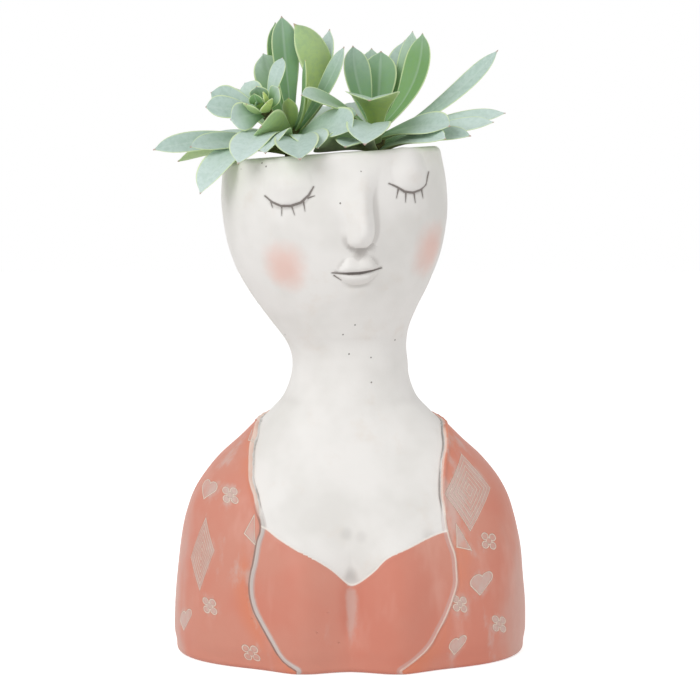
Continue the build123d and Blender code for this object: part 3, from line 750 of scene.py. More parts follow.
def skin_paint(place):
    """Off-white matt paint on cement, with faint grey and warm clouds, and grey painted shade in the
    hollows.
    """
    paint = bpy.context.scene.planter_paint
    clouds = speckle(place, 26.0, 3.0, 0.55)
    warm = speckle(place, 60.0, 4.0, 0.6)
    colour = mix(ramp(clouds, 0.40, 0.68), paint.skin_colour, paint.skin_cloud)
    colour = mix(ramp(warm, 0.55, 0.80, 0.0, 0.30), colour, rgb(226, 214, 202))
    # grey in the hollows, as deep as they are: painted shade
    hollow = attribute(place, "hollow") + swing(warm, 0.00016)
    colour = mix(ramp(hollow, 0.00006, 0.00050, 0.0, 0.26), colour, rgb(150, 142, 136))
    distance, chance = cells(place, 190.0)
    speck = ramp(distance, 0.10, 0.05) * ramp(chance, 0.975, 0.985)
    return mix(speck * 0.75, colour, rgb(92, 84, 78)), speck, warm


def brush_line(tree, pixels, widths):
    """Ends and widths of the brush strokes through pixels of the photograph."""
    points = [on_skin(tree, *pixel)[0] for pixel in pixels]
    return list(zip(points, points[1:], widths, widths[1:]))


def drawn_eye(tree, lid, lashes, width):
    """Brush strokes of one closed eye, its lid's line thickest in the middle."""
    count = len(lid)
    drawn = brush_line(tree, lid, [width * (0.45 + 0.75 * math.sin(math.pi * (k + 0.6) / (count + 0.2)))
                                   for k in range(count)])
    for lash in lashes:
        drawn += brush_line(tree, lash, LASH_WIDTHS)
    return drawn


def spot_shade(place, colour, spots, grain):
    """Soft grey painted shade round the given spots: place, radius and strength."""
    ragged = swing(grain, 0.003)
    for spot, radius, strength in spots:
        away = vector_calc("DISTANCE", place, spot) + ragged
        colour = mix(ramp(away, radius, radius * 0.2, 0.0, strength), colour, SPOT_SHADE_COLOUR)
    return colour


def head_paint(name, blushes=(), drawn=(), specks=(), shade_spots=()):
    """Material of the head and neck, with its blushes or with the drawn lines of one eye or the mouth."""
    material, shader, place = new_material(name)
    paint = bpy.context.scene.planter_paint
    colour, speck, grain = skin_paint(place)
    for spot, radius in blushes:
        away = vector_calc("DISTANCE", place, spot) + swing(speckle(place, 90.0, 4.0, 0.6), 0.008)
        colour = mix(ramp(away, radius * 1.2, radius * 0.15, 0.0, 0.66), colour, paint.blush_colour)
    # painted shade round the given spots, such as under the nose
    if shade_spots:
        colour = spot_shade(place, colour, shade_spots, speckle(place, 500.0, 3.0, 0.6))
    if specks:
        pit = nearest_of([vector_calc("DISTANCE", place, spot) for spot in specks])
        pit = pit + swing(speckle(place, 1200.0), 0.0004)
        colour = mix(ramp(pit, 0.00055, 0.00030, 0.0, 0.8), colour, rgb(84, 76, 70))
    height = (fine_grain(place) + grain) * 0.22
    if drawn:
        # depth is pressed together, so that a line follows the relief below it
        pressed = vector_calc("MULTIPLY", place, DRAWN_DEPTH)
        ink = nearest_of([stroke(pressed, start * DRAWN_DEPTH, end * DRAWN_DEPTH, *widths)
                          for start, end, *widths in drawn])
        ink = ink + swing(speckle(place, 900.0), 0.0003)
        colour = mix(ramp(ink, 0.0009, 0.0, 0.0, 0.22), colour, paint.line_colour)
        inked = ramp(ink, 0.00018, -0.00010, 0.0, 0.88)
        colour = mix(inked, colour, paint.line_colour)
        height = height - inked * 0.9
    plug(shader.inputs["Base Color"], colour)
    shader.inputs["Roughness"].default_value = 0.62
    shader.inputs["Specular IOR Level"].default_value = 0.35
    rough_bump(shader, height - speck, 0.00030, 0.8)
    return material


# Rolled edge of the shawl, by distance across it: the place of the cream line, a painted highlight, its
# shift on the lower and on the upper right edge and how much thinner it is there; for each band, the painted
# shade among them, its place, outer and inner half width
THREAD_PLACE = 0.0006
THREAD_LOWER = 0.0008
THREAD_UPPER = 0.0003
THREAD_THINNING = 0.0004
THREAD_WIDTHS = (0.0009, 0.0003)
BESIDE_PLACE, BESIDE_WIDTHS = 0.0002, (0.0011, 0.0004)
WASHED_PLACE, WASHED_WIDTHS = 0.0010, (0.0012, 0.0007)
UPPER_SHADE_DEPTH, UPPER_SHADE_WIDTHS = 0.0005, (0.0007, 0.0001)
LOWER_SHADE_PLACE, LOWER_SHADE_WIDTHS = 0.0024, (0.0006, 0.0002)


def edge_paint(place, colour, edge, ragged, thin, broad):
    """Rolled edge of the shawl: a cream line above that is a painted highlight, grey wash below with a grey
    band beside it that is partly painted shade, and grey painted shade in its crease.
    """
    axes = add(place.tree, "ShaderNodeSeparateXYZ", {"Vector": place}).outputs
    lower = ramp(Term(axes["Z"]), HEM_HIGH, HEM_LOW)
    upper = 1.0 - lower
    left = ramp(Term(axes["X"]), 0.002, -0.002)
    lower_left = lower * left
    upper_right = upper * (1.0 - left)
    across = edge + lower * ROLL_SHIFT + ragged * 0.5
    # cream line along the crest of the rolled edge, of patchy strength: painted highlight
    patchy = ramp(broad + thin * 0.4, 0.50, 0.80, 0.55, 1.0)
    line = lower * THREAD_LOWER - upper_right * THREAD_UPPER + THREAD_PLACE
    edge_highlight = ramp(abs(across - line) + upper_right * THREAD_THINNING, *THREAD_WIDTHS, 0.0, 0.85)
    # grey band beside the lower rolled edge: partly wash, partly painted shade
    beside = ramp(abs(across - BESIDE_PLACE), *BESIDE_WIDTHS, 0.0, 0.45)
    washed = ramp(abs(across - WASHED_PLACE), *WASHED_WIDTHS, 0.0, 0.90)
    colour = mix(beside * lower, colour, rgb(196, 178, 174))
    colour = mix(edge_highlight * patchy * (1.0 - lower_left), colour, EDGE_HIGHLIGHT)
    colour = mix(washed * lower_left, colour, rgb(204, 199, 194))
    # grey in the crease above, and in a thin line beside the lower left bead: painted shade
    dark = ramp(abs(across + UPPER_SHADE_DEPTH), *UPPER_SHADE_WIDTHS)
    dark = dark * (upper * ramp(thin, 0.40, 0.62, 0.20, 0.75))
    low_shade = ramp(abs(across - LOWER_SHADE_PLACE), *LOWER_SHADE_WIDTHS, 0.0, 0.70)
    return mix(largest(dark, lower_left * low_shade), colour, rgb(122, 112, 106))


def bust_paint(places, shade_spots):
    """Material of the chest, dress and shawl: coral paint, white wash and scratched ornaments."""
    material, shader, place = new_material("painted_bust")
    paint = bpy.context.scene.planter_paint
    skin, speck, grain = skin_paint(place)
    # painted shade round spots on the chest by the neckline
    skin = spot_shade(place, skin, shade_spots, grain)
    edge, line = attribute(place, "shawl_edge"), attribute(place, "neckline")
    ragged = swing(speckle(place, 380.0, 3.0), 0.0006)
    on_shawl = ramp(edge + ragged, -0.0001, 0.0002)
    on_dress = ramp(line + ragged, -0.0001, 0.0002)
    painted = largest(on_shawl, on_dress)

    patches = speckle(place, 22.0, 3.0, 0.55)
    smears = speckle(place, 30.0, 4.0, 0.62, upright=0.35)
    coral = mix(ramp(patches, 0.36, 0.66), paint.coral_colour, paint.coral_deep)
    coral = mix(ramp(smears, 0.54, 0.72, 0.0, 0.6), coral, paint.coral_pale)
    near_lapel = ramp(edge, 0.012, 0.002) * on_shawl * ramp(smears, 0.62, 0.42, 0.0, 0.8)
    coral = mix(near_lapel, coral, paint.coral_orange)

    # white wash: in clouds, round the ornaments, in the dress's valley, and in the ornaments and hollows;
    # the coral also turns paler towards both sides
    fills, lines = zip(*(ornament(place, *one) for one in places))
    fill = nearest_of(fills) + ragged
    thin = speckle(place, 75.0, 5.0, 0.68, upright=0.45)
    broad = speckle(place, 34.0, 3.0, 0.6, upright=0.5)
    across = Term(add(place.tree, "ShaderNodeSeparateXYZ", {"Vector": place}).outputs["X"])
    clouds = ramp(thin * 0.5 + broad * 0.5, 0.54, 0.66, 0.0, 0.55)
    halo = ramp(fill, 0.004, 0.0005) * ramp(thin, 0.46, 0.66, 0.0, 0.55)
    sides = ramp(abs(across) + swing(broad, 0.060), 0.072, 0.092, 0.0, 0.40)
    wash = largest(clouds * on_shawl, largest(halo, sides) * on_shawl)
    valley = ramp(stroke(place, *VALLEY_STROKE) + swing(thin, 0.012), 0.0050, -0.0030, 0.0, 0.70)
    wash = largest(wash, valley * on_dress)
    filled = ramp(fill, 0.00015, -0.00025) * ramp(thin, 0.35, 0.62, 0.35, 0.80)
    wash = largest(wash, filled * on_shawl)
    rubbed = attribute(place, "hollow") + (thin - 0.55) * 0.0016
    wash = largest(wash, ramp(rubbed, 0.00005, 0.00060, 0.0, 0.50))
    coral = mix(wash, coral, paint.wash_colour)

    scratch = nearest_of(lines) + ragged * 0.4
    scratched = ramp(scratch, 0.00044, 0.00014, 0.0, 0.90) * on_shawl
    coral = mix(scratched, coral, SCRATCH_COLOUR)
    colour = edge_paint(place, mix(painted, skin, coral), edge, ragged, thin, broad)
    # thin near-white line along the neckline's edge: painted highlight
    hem = ramp(abs(line + 0.00010), 0.0007, 0.0002, 0.0, 0.8)
    colour = mix(hem * (1.0 - on_shawl), colour, rgb(240, 234, 226))
    plug(shader.inputs["Base Color"], colour)
    plug(shader.inputs["Roughness"], 0.62 - painted * 0.10)
    shader.inputs["Specular IOR Level"].default_value = 0.40
    height = (fine_grain(place) + grain) * 0.20 - (speck + scratched) - filled * 0.3
    rough_bump(shader, height, 0.00035, 0.9)
    return material


def inside_paint():
    """Bare grey cement inside the head and bust."""
    material, shader, place = new_material("bare_cement")
    clouds = speckle(place, 45.0, 4.0, 0.6)
    plug(shader.inputs["Base Color"], mix(clouds, rgb(150, 146, 140), rgb(196, 192, 186)))
    shader.inputs["Roughness"].default_value = 0.85
    rough_bump(shader, speckle(place, 300.0, 5.0, 0.65), 0.0005)
    return material


def upright_axes(normal, lean):
    """Sideways and upward directions on a surface, leaned by an angle in degrees."""
    upward = np.array((0.0, 0.0, 1.0)) - normal * normal[2]
    upward /= np.linalg.norm(upward)
    right = np.cross(upward, normal)
    c, s = math.cos(math.radians(lean)), math.sin(math.radians(lean))
    return right * c + upward * s, upward * c - right * s


def across_and_up(points, tree, pixel, lean):
    """Places of points to the right of and above what a pixel of the photograph sees."""
    place, normal = on_skin(tree, *pixel)
    right, up = upright_axes(normal, lean)
    away = points - place
    return away @ right, away @ up


def bell(value, width):
    """1 at zero, and fading to 0 on both sides."""
    return np.exp(-(value / width) ** 2)


def eye_relief(points, tree, eye, half_width):
    """Dome of a closed eye, steep at the lid's lower edge and soft at the sides and brow."""
    x, z = across_and_up(points, tree, eye, EYE_LEAN)
    x, z = x / half_width, z / np.where(z < 0, EYE_DROP, EYE_RISE)
    r = np.clip(np.sqrt(x * x + z * z), 0, 1)
    return EYE_DEPTH * (1 - r * r) ** (EYE_SOFTNESS - EYE_STEEPENING * fade(-z, *EYE_STEEP))


def nose_relief(points, tree):
    """Long nose with a round tip and a soft ridge above it."""
    x, z = across_and_up(points, tree, NOSE_TIP, NOSE_LEAN)
    rows = np.array(NOSE_ROWS)
    foot, top = rows[0, 0], rows[-1, 0]
    sizes = smooth_rows(rows[:, 0], rows[:, 1:], np.clip(z, foot, top).ravel())
    left_width, right_width, high = (sizes[:, k].reshape(z.shape) for k in range(3))
    reach = np.abs(x) / np.where(x < 0, left_width, right_width)
    round_tip = np.clip(1 - reach ** TIP_SQUARENESS, 0, 1) ** TIP_FULLNESS
    soft_ridge = bell(reach, RIDGE_WIDTH_SHARE) * (1 - fade(reach, *RIDGE_END_SHARES))
    left_tip = LEFT_TIP_SHARE * (1 - fade(z, *LEFT_TIP_FADE))
    right_tip = RIGHT_RIDGE_SHARE + RIGHT_TIP_SHARE * (1 - fade(z, *RIGHT_TIP_FADE))
    tip_share = np.where(x < 0, left_tip, right_tip)
    ridge = round_tip * tip_share + soft_ridge * (1 - tip_share)
    return np.where((z > foot) & (z < top), np.clip(high, 0, 1) * ridge, 0)


def mouth_relief(points, tree):
    """Two lips with a cut between them, a dip above them and a hollow over the chin."""
    x, z = across_and_up(points, tree, MOUTH_CENTRE, MOUTH_LEAN)
    z = z - MOUTH_BEND * x * x
    reach = np.abs(x)
    fall = BOW_FALL * np.clip(reach - BOW_REACH, 0, 1) ** BOW_POWER
    top = UPPER_LIP_HEIGHT - BOW_DIP * bell(x, BOW_WIDTH) - fall
    upper = np.clip(z / np.maximum(top, UPPER_LIP_LEAST), 0, 1)
    inner_power, outer_power = UPPER_LIP_SWELL
    upper = UPPER_LIP_DEPTH * np.sin(math.pi * upper ** inner_power) ** outer_power
    upper = upper * fade(-reach, *UPPER_LIP_END)
    share = np.clip(1 - (x / LOWER_LIP_REACH) ** 2, LOWER_LIP_LEAST_SHARE, 1)
    lower = np.clip(-z / (LOWER_LIP_HEIGHT * share ** LOWER_LIP_ROUND), 0, 1)
    lower = LOWER_LIP_DEPTH * np.sin(math.pi * lower ** LOWER_LIP_SWELL) * fade(-reach, *LOWER_LIP_END)
    cut = MOUTH_CUT * bell(z, MOUTH_CUT_HEIGHT) * fade(-reach, *MOUTH_CUT_END)
    total = np.where(z > 0, upper, lower) - cut
    for width, height, tall in (UPPER_HOLLOW, LOWER_HOLLOW):
        total = total - LIP_HOLLOW * bell(x, width) * bell(z - height, tall)
    return total


def face_relief(points, tree):
    """How far the face stands out of the bare head, in metres, at each point."""
    total = sum(eye_relief(points, tree, *eye) for eye in EYES)
    total = total + nose_relief(points, tree) + mouth_relief(points, tree)
    return np.where(points[..., 1] < 0, total, 0)


def column_angles(heights, table, bare_tree):
    """Angles of the grid's columns at each height, with one column kept on each lapel."""
    anchors = []
    for lapel, sign in ((LEFT_LAPEL, -1), (RIGHT_LAPEL, 1)):
        line = trace(bare_tree, lapel, 6)
        line = line[np.argsort(line[:, 2])]
        width, _, _, _, _, square, _ = smooth_rows(table[0], table[1], line[:, 2]).T
        reach = np.clip(np.abs(line[:, 0]) / width, 0, 0.9999)
        low = np.interp(heights, line[:, 2], np.arcsin(reach ** (square / 2)))
        # above the lapels the columns swing slowly from the side towards the face
        high = fade(heights, NAPE_TOP, NECK_LOW)
        above = math.radians(NAPE_TURN) * (1 - high) + math.radians(NECK_TURN) * high
        low = np.pad(np.where(heights > NAPE_TOP, above, low), SMOOTH_ROWS, mode="edge")
        window = 2 * SMOOTH_ROWS + 1
        anchors.append(sign * np.convolve(low, np.ones(window) / window, mode="valid"))
    left, right = (anchor[:, None] for anchor in anchors)
    t = np.linspace(-1, 1, FRONT_COLUMNS + 1)[:-1]
    t = t + LAPEL_GATHER / math.pi * np.sin(math.pi * t)
    front = left + (right - left) * (t + 1) / 2
    g = np.linspace(0, 1, SIDE_COLUMNS + 1)[:-1]
    g = (np.exp(BACK_SPREAD * g) - 1) / (math.exp(BACK_SPREAD) - 1)
    right_side = right + (math.pi - right) * g
    left_side = -math.pi + (left + math.pi) * (1 - g[::-1])
    left_side = np.concatenate((np.full_like(left, -math.pi), left_side[:, :-1]), 1)
    return np.concatenate((front, right_side, left_side), 1)


def lapel_in_front(line, table):
    """The part of a lapel's line below the height where it reaches the casting's side."""
    width = smooth_rows(table[0], table[1], line[:, 2])[:, 0]
    beyond = line[np.abs(line[:, 0]) > SIDE_REACH * width, 2]
    return line[line[:, 2] < min(NAPE_LINE, beyond.min(initial=NAPE_LINE))]


def nape_height(angles, tops):
    """Height of the shawl's edge behind, which rises from the tops of the left and right lapels."""
    share = np.where(angles > 0, angles - math.pi / 2, angles + 3 * math.pi / 2) / math.pi
    return tops[1][2] + (tops[0][2] - tops[1][2]) * share - NAPE_RISE * np.cos(angles)


def line_at(line, places, column):
    """X (column 0) or height (column 2) of a line at given places of the other one."""
    other = 2 - column
    line = line[np.argsort(line[:, other])]
    return np.interp(places, line[:, other], line[:, column])


def under_shawl(points, left, right, angles, tops):
    """True where a point of the casting is under the shawl."""
    x, z = points[..., 0], points[..., 2]
    beside = (x < line_at(left, z, 0)) & (z < tops[0][2])
    beside |= (x > line_at(right, z, 0)) & (z < tops[1][2])
    return np.where(np.abs(angles) <= math.pi / 2, beside, z < nape_height(angles, tops))


def closed_ring_mesh(name, rings):
    """Closed skin through rings of points, the last ring joined to the first."""
    grid = np.stack(rings)
    rows, columns = grid.shape[:2]
    corner = np.arange(rows * columns).reshape(rows, columns)
    up, side = np.roll(corner, -1, 0), np.roll(corner, -1, 1)
    faces = np.stack((corner, side, np.roll(up, -1, 1), up), -1).reshape(-1, 4)
    return new_mesh(name, grid.reshape(-1, 3), faces)


def bare_casting(table, bare_tree):
    """Heights of the rings, angles of the columns, and the bare casting with its base and rim rounded."""
    turn = np.linspace(0, math.pi / 2, 7)
    low_heights = SKIRT + BASE_ROUND * (1 - np.cos(turn))
    high_heights = PLANTER_HEIGHT - RIM_ROUND * (1 - np.sin(turn))
    body = np.concatenate((np.arange(low_heights[-1] + 0.001, NECK_LINE, BUST_STEP),
                           np.arange(NECK_LINE, CHIN_HEIGHT, NECK_STEP),
                           np.arange(CHIN_HEIGHT, high_heights[0] - 0.0004, FACE_STEP)))
    heights = np.concatenate((low_heights, body, high_heights))
    grow = np.concatenate((-BASE_ROUND * (1 - np.sin(turn)), np.zeros(len(body)),
                           -RIM_ROUND * (1 - np.cos(turn))))
    angles = column_angles(heights, table, bare_tree)
    return heights, angles, sections(table, heights, angles, grow)


def garment_distances(table, bare_tree, grid, angles):
    """Distance of each point from the shawl's edge and from the dress's, above 0 where they cover it."""
    left, right = (lapel_in_front(trace(bare_tree, lapel), table) for lapel in (LEFT_LAPEL, RIGHT_LAPEL))
    tops = [lapel[np.argmax(lapel[:, 2])] for lapel in (left, right)]
    behind = np.linspace(math.pi / 2, 3 * math.pi / 2, 60)
    nape = np.array([sections(table, [height], np.array([angle]))[0, 0]
                     for height, angle in zip(nape_height(behind, tops), behind)])
    edges = (left, right, nape, np.stack((tops[0], nape[-1])), np.stack((tops[1], nape[0])))
    flat = grid.reshape(-1, 3)
    shawl = np.min([distance_to(flat, line) for line in edges], 0).reshape(grid.shape[:2])
    shawl = np.where(under_shawl(grid, left, right, angles, tops), shawl, -shawl)
    hem = trace(bare_tree, NECKLINE)
    below = grid[..., 2] < line_at(hem, grid[..., 0], 2)
    dress = distance_to(flat, hem).reshape(grid.shape[:2])
    return shawl, np.where(below & (grid[..., 1] < 0), dress, -dress)


def garment_relief(settings, grid, heights, shawl_edge, neckline):
    """How far the shawl and dress stand out of the bare bust, with the shawl's rolled edge and crease."""
    x, front = grid[..., 0], grid[..., 1] < 0
    heights = heights[:, None]
    lower = 1 - fade(heights, HEM_LOW, HEM_HIGH)
    nape = fade(heights, NAPE_FOOT, NAPE_TOP)
    shawl = settings.shawl_relief * fade(shawl_edge, *SHAWL_RISE) * (1 - NAPE_LOSS * nape)
    roll = bell(shawl_edge + ROLL_SHIFT * lower - ROLL_PLACE, ROLL_WIDTH) * (1 - NAPE_ROLL_LOSS * nape)
    shawl += settings.lapel_roll * roll
    shawl *= 1 - BACK_LOSS * fade(grid[..., 1], *BACK_FADE)
    crease = CREASE_DEPTH * bell(shawl_edge - CREASE_PLACE - CREASE_SHIFT * lower, CREASE_WIDTH)
    crease *= (heights < NECK_LINE) * (1 - nape)
    clear_of_shawl = fade(-shawl_edge, *DRESS_END)
    dress = settings.dress_relief * fade(neckline, *DRESS_RISE) * clear_of_shawl
    dress += BEAD_HEIGHT * bell(neckline - BEAD_PLACE, BEAD_WIDTH) * clear_of_shawl
    valley = VALLEY_DEPTH * bell(x - VALLEY_PLACE, VALLEY_WIDTH) * fade(heights, *VALLEY_FOOT)
    valley *= (1 - fade(heights, *VALLEY_TOP)) * front
    low = BASE_SHARE + (1 - BASE_SHARE) * fade(heights, *BASE_FADE)
    return np.where(heights < NECK_LOW, shawl - crease + dress, 0) * low - valley


def hollowness(outer, bare_tree):
    """How far each point lies below its smoothed surroundings; the nose's left flank is kept at none, so
    that it gets no painted shade.
    """
    soft = outer.copy()
    for _ in range(10):
        soft[1:-1] = 0.5 * soft[1:-1] + 0.25 * (soft[:-2] + soft[2:])
        soft = 0.5 * soft + 0.25 * (np.roll(soft, 1, 1) + np.roll(soft, -1, 1))
    hollow = ((soft - outer) * grid_normals(outer)).sum(-1)
    flank = np.linalg.norm(outer - on_skin(bare_tree, *NOSE_FLANK)[0], axis=-1)
    return hollow * (1 - bell(flank, FLANK_RADIUS))


def inside_rings(table, rim, angles):
    """Rings of the casting's inside, from the rim through the bowl, neck and bust to the felt's recess."""
    rim_top = BOWL_DEPTH - RIM_EASE
    wide = BOWL_TOP_RADIUS + RIM_INNER_ROUND
    rings = [0.5 * (rim + head_ring(rim_top, wide, angles))]
    for bend in np.linspace(0, math.pi / 2, 5):
        rings.append(head_ring(rim_top - RIM_INNER_ROUND * (1 - math.cos(bend)),
                               BOWL_TOP_RADIUS + RIM_INNER_ROUND * (1 - math.sin(bend)), angles))
    for height in np.linspace(BOWL_DEPTH - BOWL_MARGIN_TOP, BOWL_MARGIN_FOOT, BOWL_ROWS):
        radius = BOWL_FLOOR_RADIUS + (BOWL_TOP_RADIUS - BOWL_FLOOR_RADIUS) * height / BOWL_DEPTH
        rings.append(head_ring(height, radius, angles))
    rings.append(head_ring(0.0, BOWL_FLOOR_RADIUS - BORE_EASE, angles))
    rings.append(head_ring(0.0, NECK_BORE_RADIUS + BORE_EASE, angles))
    top = head_ring(-BORE_EASE, NECK_BORE_RADIUS, angles)
    low = flat_ring((0, NECK_BACK, CHAMBER_HEIGHT + BORE_EASE), NECK_BORE_RADIUS, angles)
    rings += [top + (low - top) * share for share in np.linspace(0, 1, 9)]
    for height in CHAMBER_ROWS:
        level = min(height, CHAMBER_SHOULDER)
        rings.append(sections(table, [level], angles, -WALL)[0] + np.array((0, 0, height - level)))
    floor, recess = UNDERSIDE + FLOOR, UNDERSIDE + RECESS_DEPTH
    for height, radius in ((floor, DRAIN_RADIUS + DRAIN_EASE), (floor - DRAIN_EASE, DRAIN_RADIUS),
                           (recess, DRAIN_RADIUS), (recess, RECESS_RADIUS), (UNDERSIDE, RECESS_RADIUS)):
        rings.append(flat_ring((0, DRAIN_BACK, height), radius, angles))
    # shallow recess round the felt
    for height in (UNDERSIDE, SKIRT):
        margin = sections(table, [UNDERSIDE], angles, -FELT_MARGIN)[0]
        rings.append(margin + np.array((0, 0, height - UNDERSIDE)))
    return np.stack(rings)


def casting_rings(settings):
    """Outer rings of the casting with its relief, its inner rings, and for the paint each outer point's
    distance from the shawl's and the dress's edge and its hollowness, and the rings' heights."""
    table = station_table(settings.bust_width)
    bare_tree = grid_tree(sections(table, np.linspace(UNDERSIDE, PLANTER_HEIGHT, 200),
                                   np.linspace(-math.pi, math.pi, 361)[:-1]))
    heights, angles, grid = bare_casting(table, bare_tree)
    shawl_edge, neckline = garment_distances(table, bare_tree, grid, angles)
    relief = garment_relief(settings, grid, heights, shawl_edge, neckline)
    level = heights[:, None]
    relief += face_relief(grid, bare_tree) * (level > FACE_LOW)
    chin = bell(grid[..., 2] - CHIN_LINE, CHIN_THICKNESS) * bell(grid[..., 0] - CHIN_PLACE, CHIN_WIDTH)
    chin *= grid[..., 1] < 0
    relief -= CHIN_DEPTH * chin
    flat = grid.reshape(-1, 3)
    swells = sum(share * unevenness(flat, wave, seed) for wave, seed, share in HAND_SWELLS)
    hand = (settings.hand_relief * swells).reshape(grid.shape[:2]) * fade(level, *HAND_LOW)
    relief += hand * (1 - fade(level, *HAND_HIGH))
    outer = grid + grid_normals(grid) * relief[..., None]
    outer[..., 2] = np.maximum(outer[..., 2], SKIRT)
    return (outer, inside_rings(table, outer[-1], angles[-1]), shawl_edge, neckline,
            hollowness(outer, bare_tree), heights)


def length_property(name, description, default, smallest_length=0.0):
    return FloatProperty(name=name, description=description, default=default, min=smallest_length,
                         subtype="DISTANCE", unit="LENGTH")


def colour_property(name, description, *seen):
    return FloatVectorProperty(name=name, description=description, subtype="COLOR", size=3, min=0, max=1,
                               default=rgb(*seen))


class PlanterCasting(bpy.types.PropertyGroup):
    bust_width: length_property("Bust width", "Width of the bare bust under the shawl", 0.175, 0.05)
    shawl_relief: length_property("Shawl relief", "How far the shawl stands out", 0.0014)
    lapel_roll: length_property("Lapel roll", "Height of the shawl's rolled edge", 0.0009)
    dress_relief: length_property("Dress relief", "How far the dress stands out", 0.0007)
    hand_relief: length_property("Hand relief", "Slow unevenness of the hand-finished cement", 0.00022)


class PlanterPaint(bpy.types.PropertyGroup):
    skin_colour: colour_property("Skin", "Off-white paint of the head and chest", 240, 238, 235)
    skin_cloud: colour_property("Skin clouds", "Greyer clouds in the off-white paint", 230, 228, 224)
    blush_colour: colour_property("Blush", "Rose on the cheeks", 238, 190, 176)
    line_colour: colour_property("Lines", "Grey-brown lids, lashes and mouth line", 120, 112, 107)
    coral_colour: colour_property("Coral", "Paint of the shawl and dress", 212, 144, 125)
    coral_deep: colour_property("Deep coral", "Darker patches of the shawl and dress", 212, 134, 114)
    coral_pale: colour_property("Pale coral", "Paler smears of the shawl and dress", 224, 166, 150)
    coral_orange: colour_property("Orange coral", "Warmer band beside the lapels", 220, 135, 104)
    wash_colour: colour_property("White wash", "Wash rubbed into scratches and hollows", 208, 190, 182)


def ornament_places(tree):
    """Kind, centre, half width and half height of each ornament on the casting."""
    places = []
    for kind, centre, side, top in SEEN_MOTIFS:
        middle, normal = on_skin(tree, *centre)
        across, upward = (on_skin(tree, *pixel)[0] - middle for pixel in (side, top))
        across, upward = (way - normal * (way @ normal) for way in (across, upward))
        places.append((kind, middle, across, upward))
    for kind, turn, height, half_width, half_height, lean in BACK_MOTIFS:
        way = Vector((math.sin(math.radians(turn)), -math.cos(math.radians(turn)), 0))
        place, normal = tree.ray_cast(Vector((0, 0, height)) + way * OUTSIDE, -way)[:2]
        if place is None:
            raise RuntimeError("no casting under an ornament")
        right, upward = upright_axes(np.array(normal), lean)
        places.append((kind, np.array(place), right * half_width, upward * half_height))
    return places


def shade_places(tree, shade_spots):
    return [(on_skin(tree, *pixel)[0], radius, strength) for pixel, radius, strength in shade_spots]


class PLANTER_OT_casting(bpy.types.Operator):
    """Make the painted cement head, neck, dress and shawl"""
    bl_idname = "planter.casting"
    bl_label = "Casting"

    def execute(self, context):
        outer, inside, shawl_edge, neckline, hollow, heights = casting_rings(context.scene.planter_casting)
        tree = grid_tree(outer)
        piece = closed_ring_mesh("painted_casting", list(outer) + list(inside))
        plain = np.zeros(inside.shape[:2])
        point_values(piece, "shawl_edge", np.concatenate((shawl_edge, plain - 1)))
        point_values(piece, "neckline", np.concatenate((neckline, plain - 1)))
        point_values(piece, "hollow", np.concatenate((hollow, plain)))

        blushes = [(on_skin(tree, *pixel)[0], radius) for pixel, radius in BLUSHES]
        specks = [on_skin(tree, *pixel)[0] for pixel in HEAD_SPECKS]
        left_eye = drawn_eye(tree, LEFT_LID, LEFT_LASHES, LEFT_LID_WIDTH)
        right_eye = drawn_eye(tree, RIGHT_LID, RIGHT_LASHES, RIGHT_LID_WIDTH)
        mouth = brush_line(tree, MOUTH, MOUTH_WIDTHS) + brush_line(tree, MOUTH_CREASE, CREASE_WIDTHS)
        for material in (head_paint("painted_head", blushes, specks=specks),
                         bust_paint(ornament_places(tree), shade_places(tree, CHEST_SHADE)),
                         inside_paint(),
                         head_paint("painted_left_eye", drawn=left_eye),
                         head_paint("painted_right_eye", drawn=right_eye),
                         head_paint("painted_mouth", drawn=mouth, shade_spots=shade_places(tree, UNDER_NOSE_SHADE))):
            piece.data.materials.append(material)
        head, bust, bare, first_drawn = 0, 1, 2, 3
        rows, columns = outer.shape[:2]
        kinds = np.full((rows + len(inside), columns), bare)
        # the paint reaches over the rim, on the first two inner rings
        above = np.concatenate((heights > PAINT_LINE, (True, True)))
        kinds[:rows + 2] = np.where(above, head, bust)[:, None]
        corners = outer[:-1].reshape(-1, 3)
        for kind, drawn in enumerate((left_eye, right_eye, mouth), first_drawn):
            ends = np.array([end for start, end, *_ in drawn] + [start for start, *_ in drawn])
            middle = (ends.min(0) + ends.max(0)) / 2
            reach = np.linalg.norm(ends - middle, axis=1).max() + DRAWN_MARGIN
            near = (np.linalg.norm(corners - middle, axis=1) < reach).reshape(rows - 1, columns)
            kinds[:rows - 1][near] = kind
        piece.data.polygons.foreach_set("material_index", kinds.ravel())
        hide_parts("bust_casting")
        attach(piece, "planter")
        return {"FINISHED"}


# Plants: places are shares of PLANT_REACH, from above the middle of the base at rim height
PLANT_REACH = 0.100
STEM_LEAFY = 0.013
SMALL_STEM_LEAFY = 0.007
# Leaves: tip's place, width share, bend share of the length, twist in degrees, seat share of the leafy stem
SMALL_LEAVES = {
    "left_rosette_heart": (
        (-0.445, -0.27, 0.262, 0.30, -0.14, 0, 0.98), (-0.420, -0.28, 0.286, 0.34, -0.14, 0, 0.94),
        (-0.462, -0.29, 0.286, 0.36, -0.14, 0, 0.90),
    ),
    "left_rosette_leaves": (
        (-0.402, -0.32, 0.243, 0.44, -0.12, 0, 0.80), (-0.498, -0.31, 0.236, 0.46, -0.12, 0, 0.76),
        (-0.452, -0.24, 0.322, 0.48, -0.10, 0, 0.72), (-0.344, -0.24, 0.315, 0.56, -0.08, 0, 0.60),
        (-0.518, -0.08, 0.344, 0.60, -0.05, 0, 0.50), (-0.682, -0.12, 0.296, 0.66, -0.02, 0, 0.35),
        (-0.576, -0.30, 0.161, 0.70, 0.02, -50, 0.40), (-0.700, -0.24, 0.223, 0.70, 0.02, 0, 0.20),
        (-0.330, -0.10, 0.466, 0.42, 0.02, 0, 0.40),
    ),
}
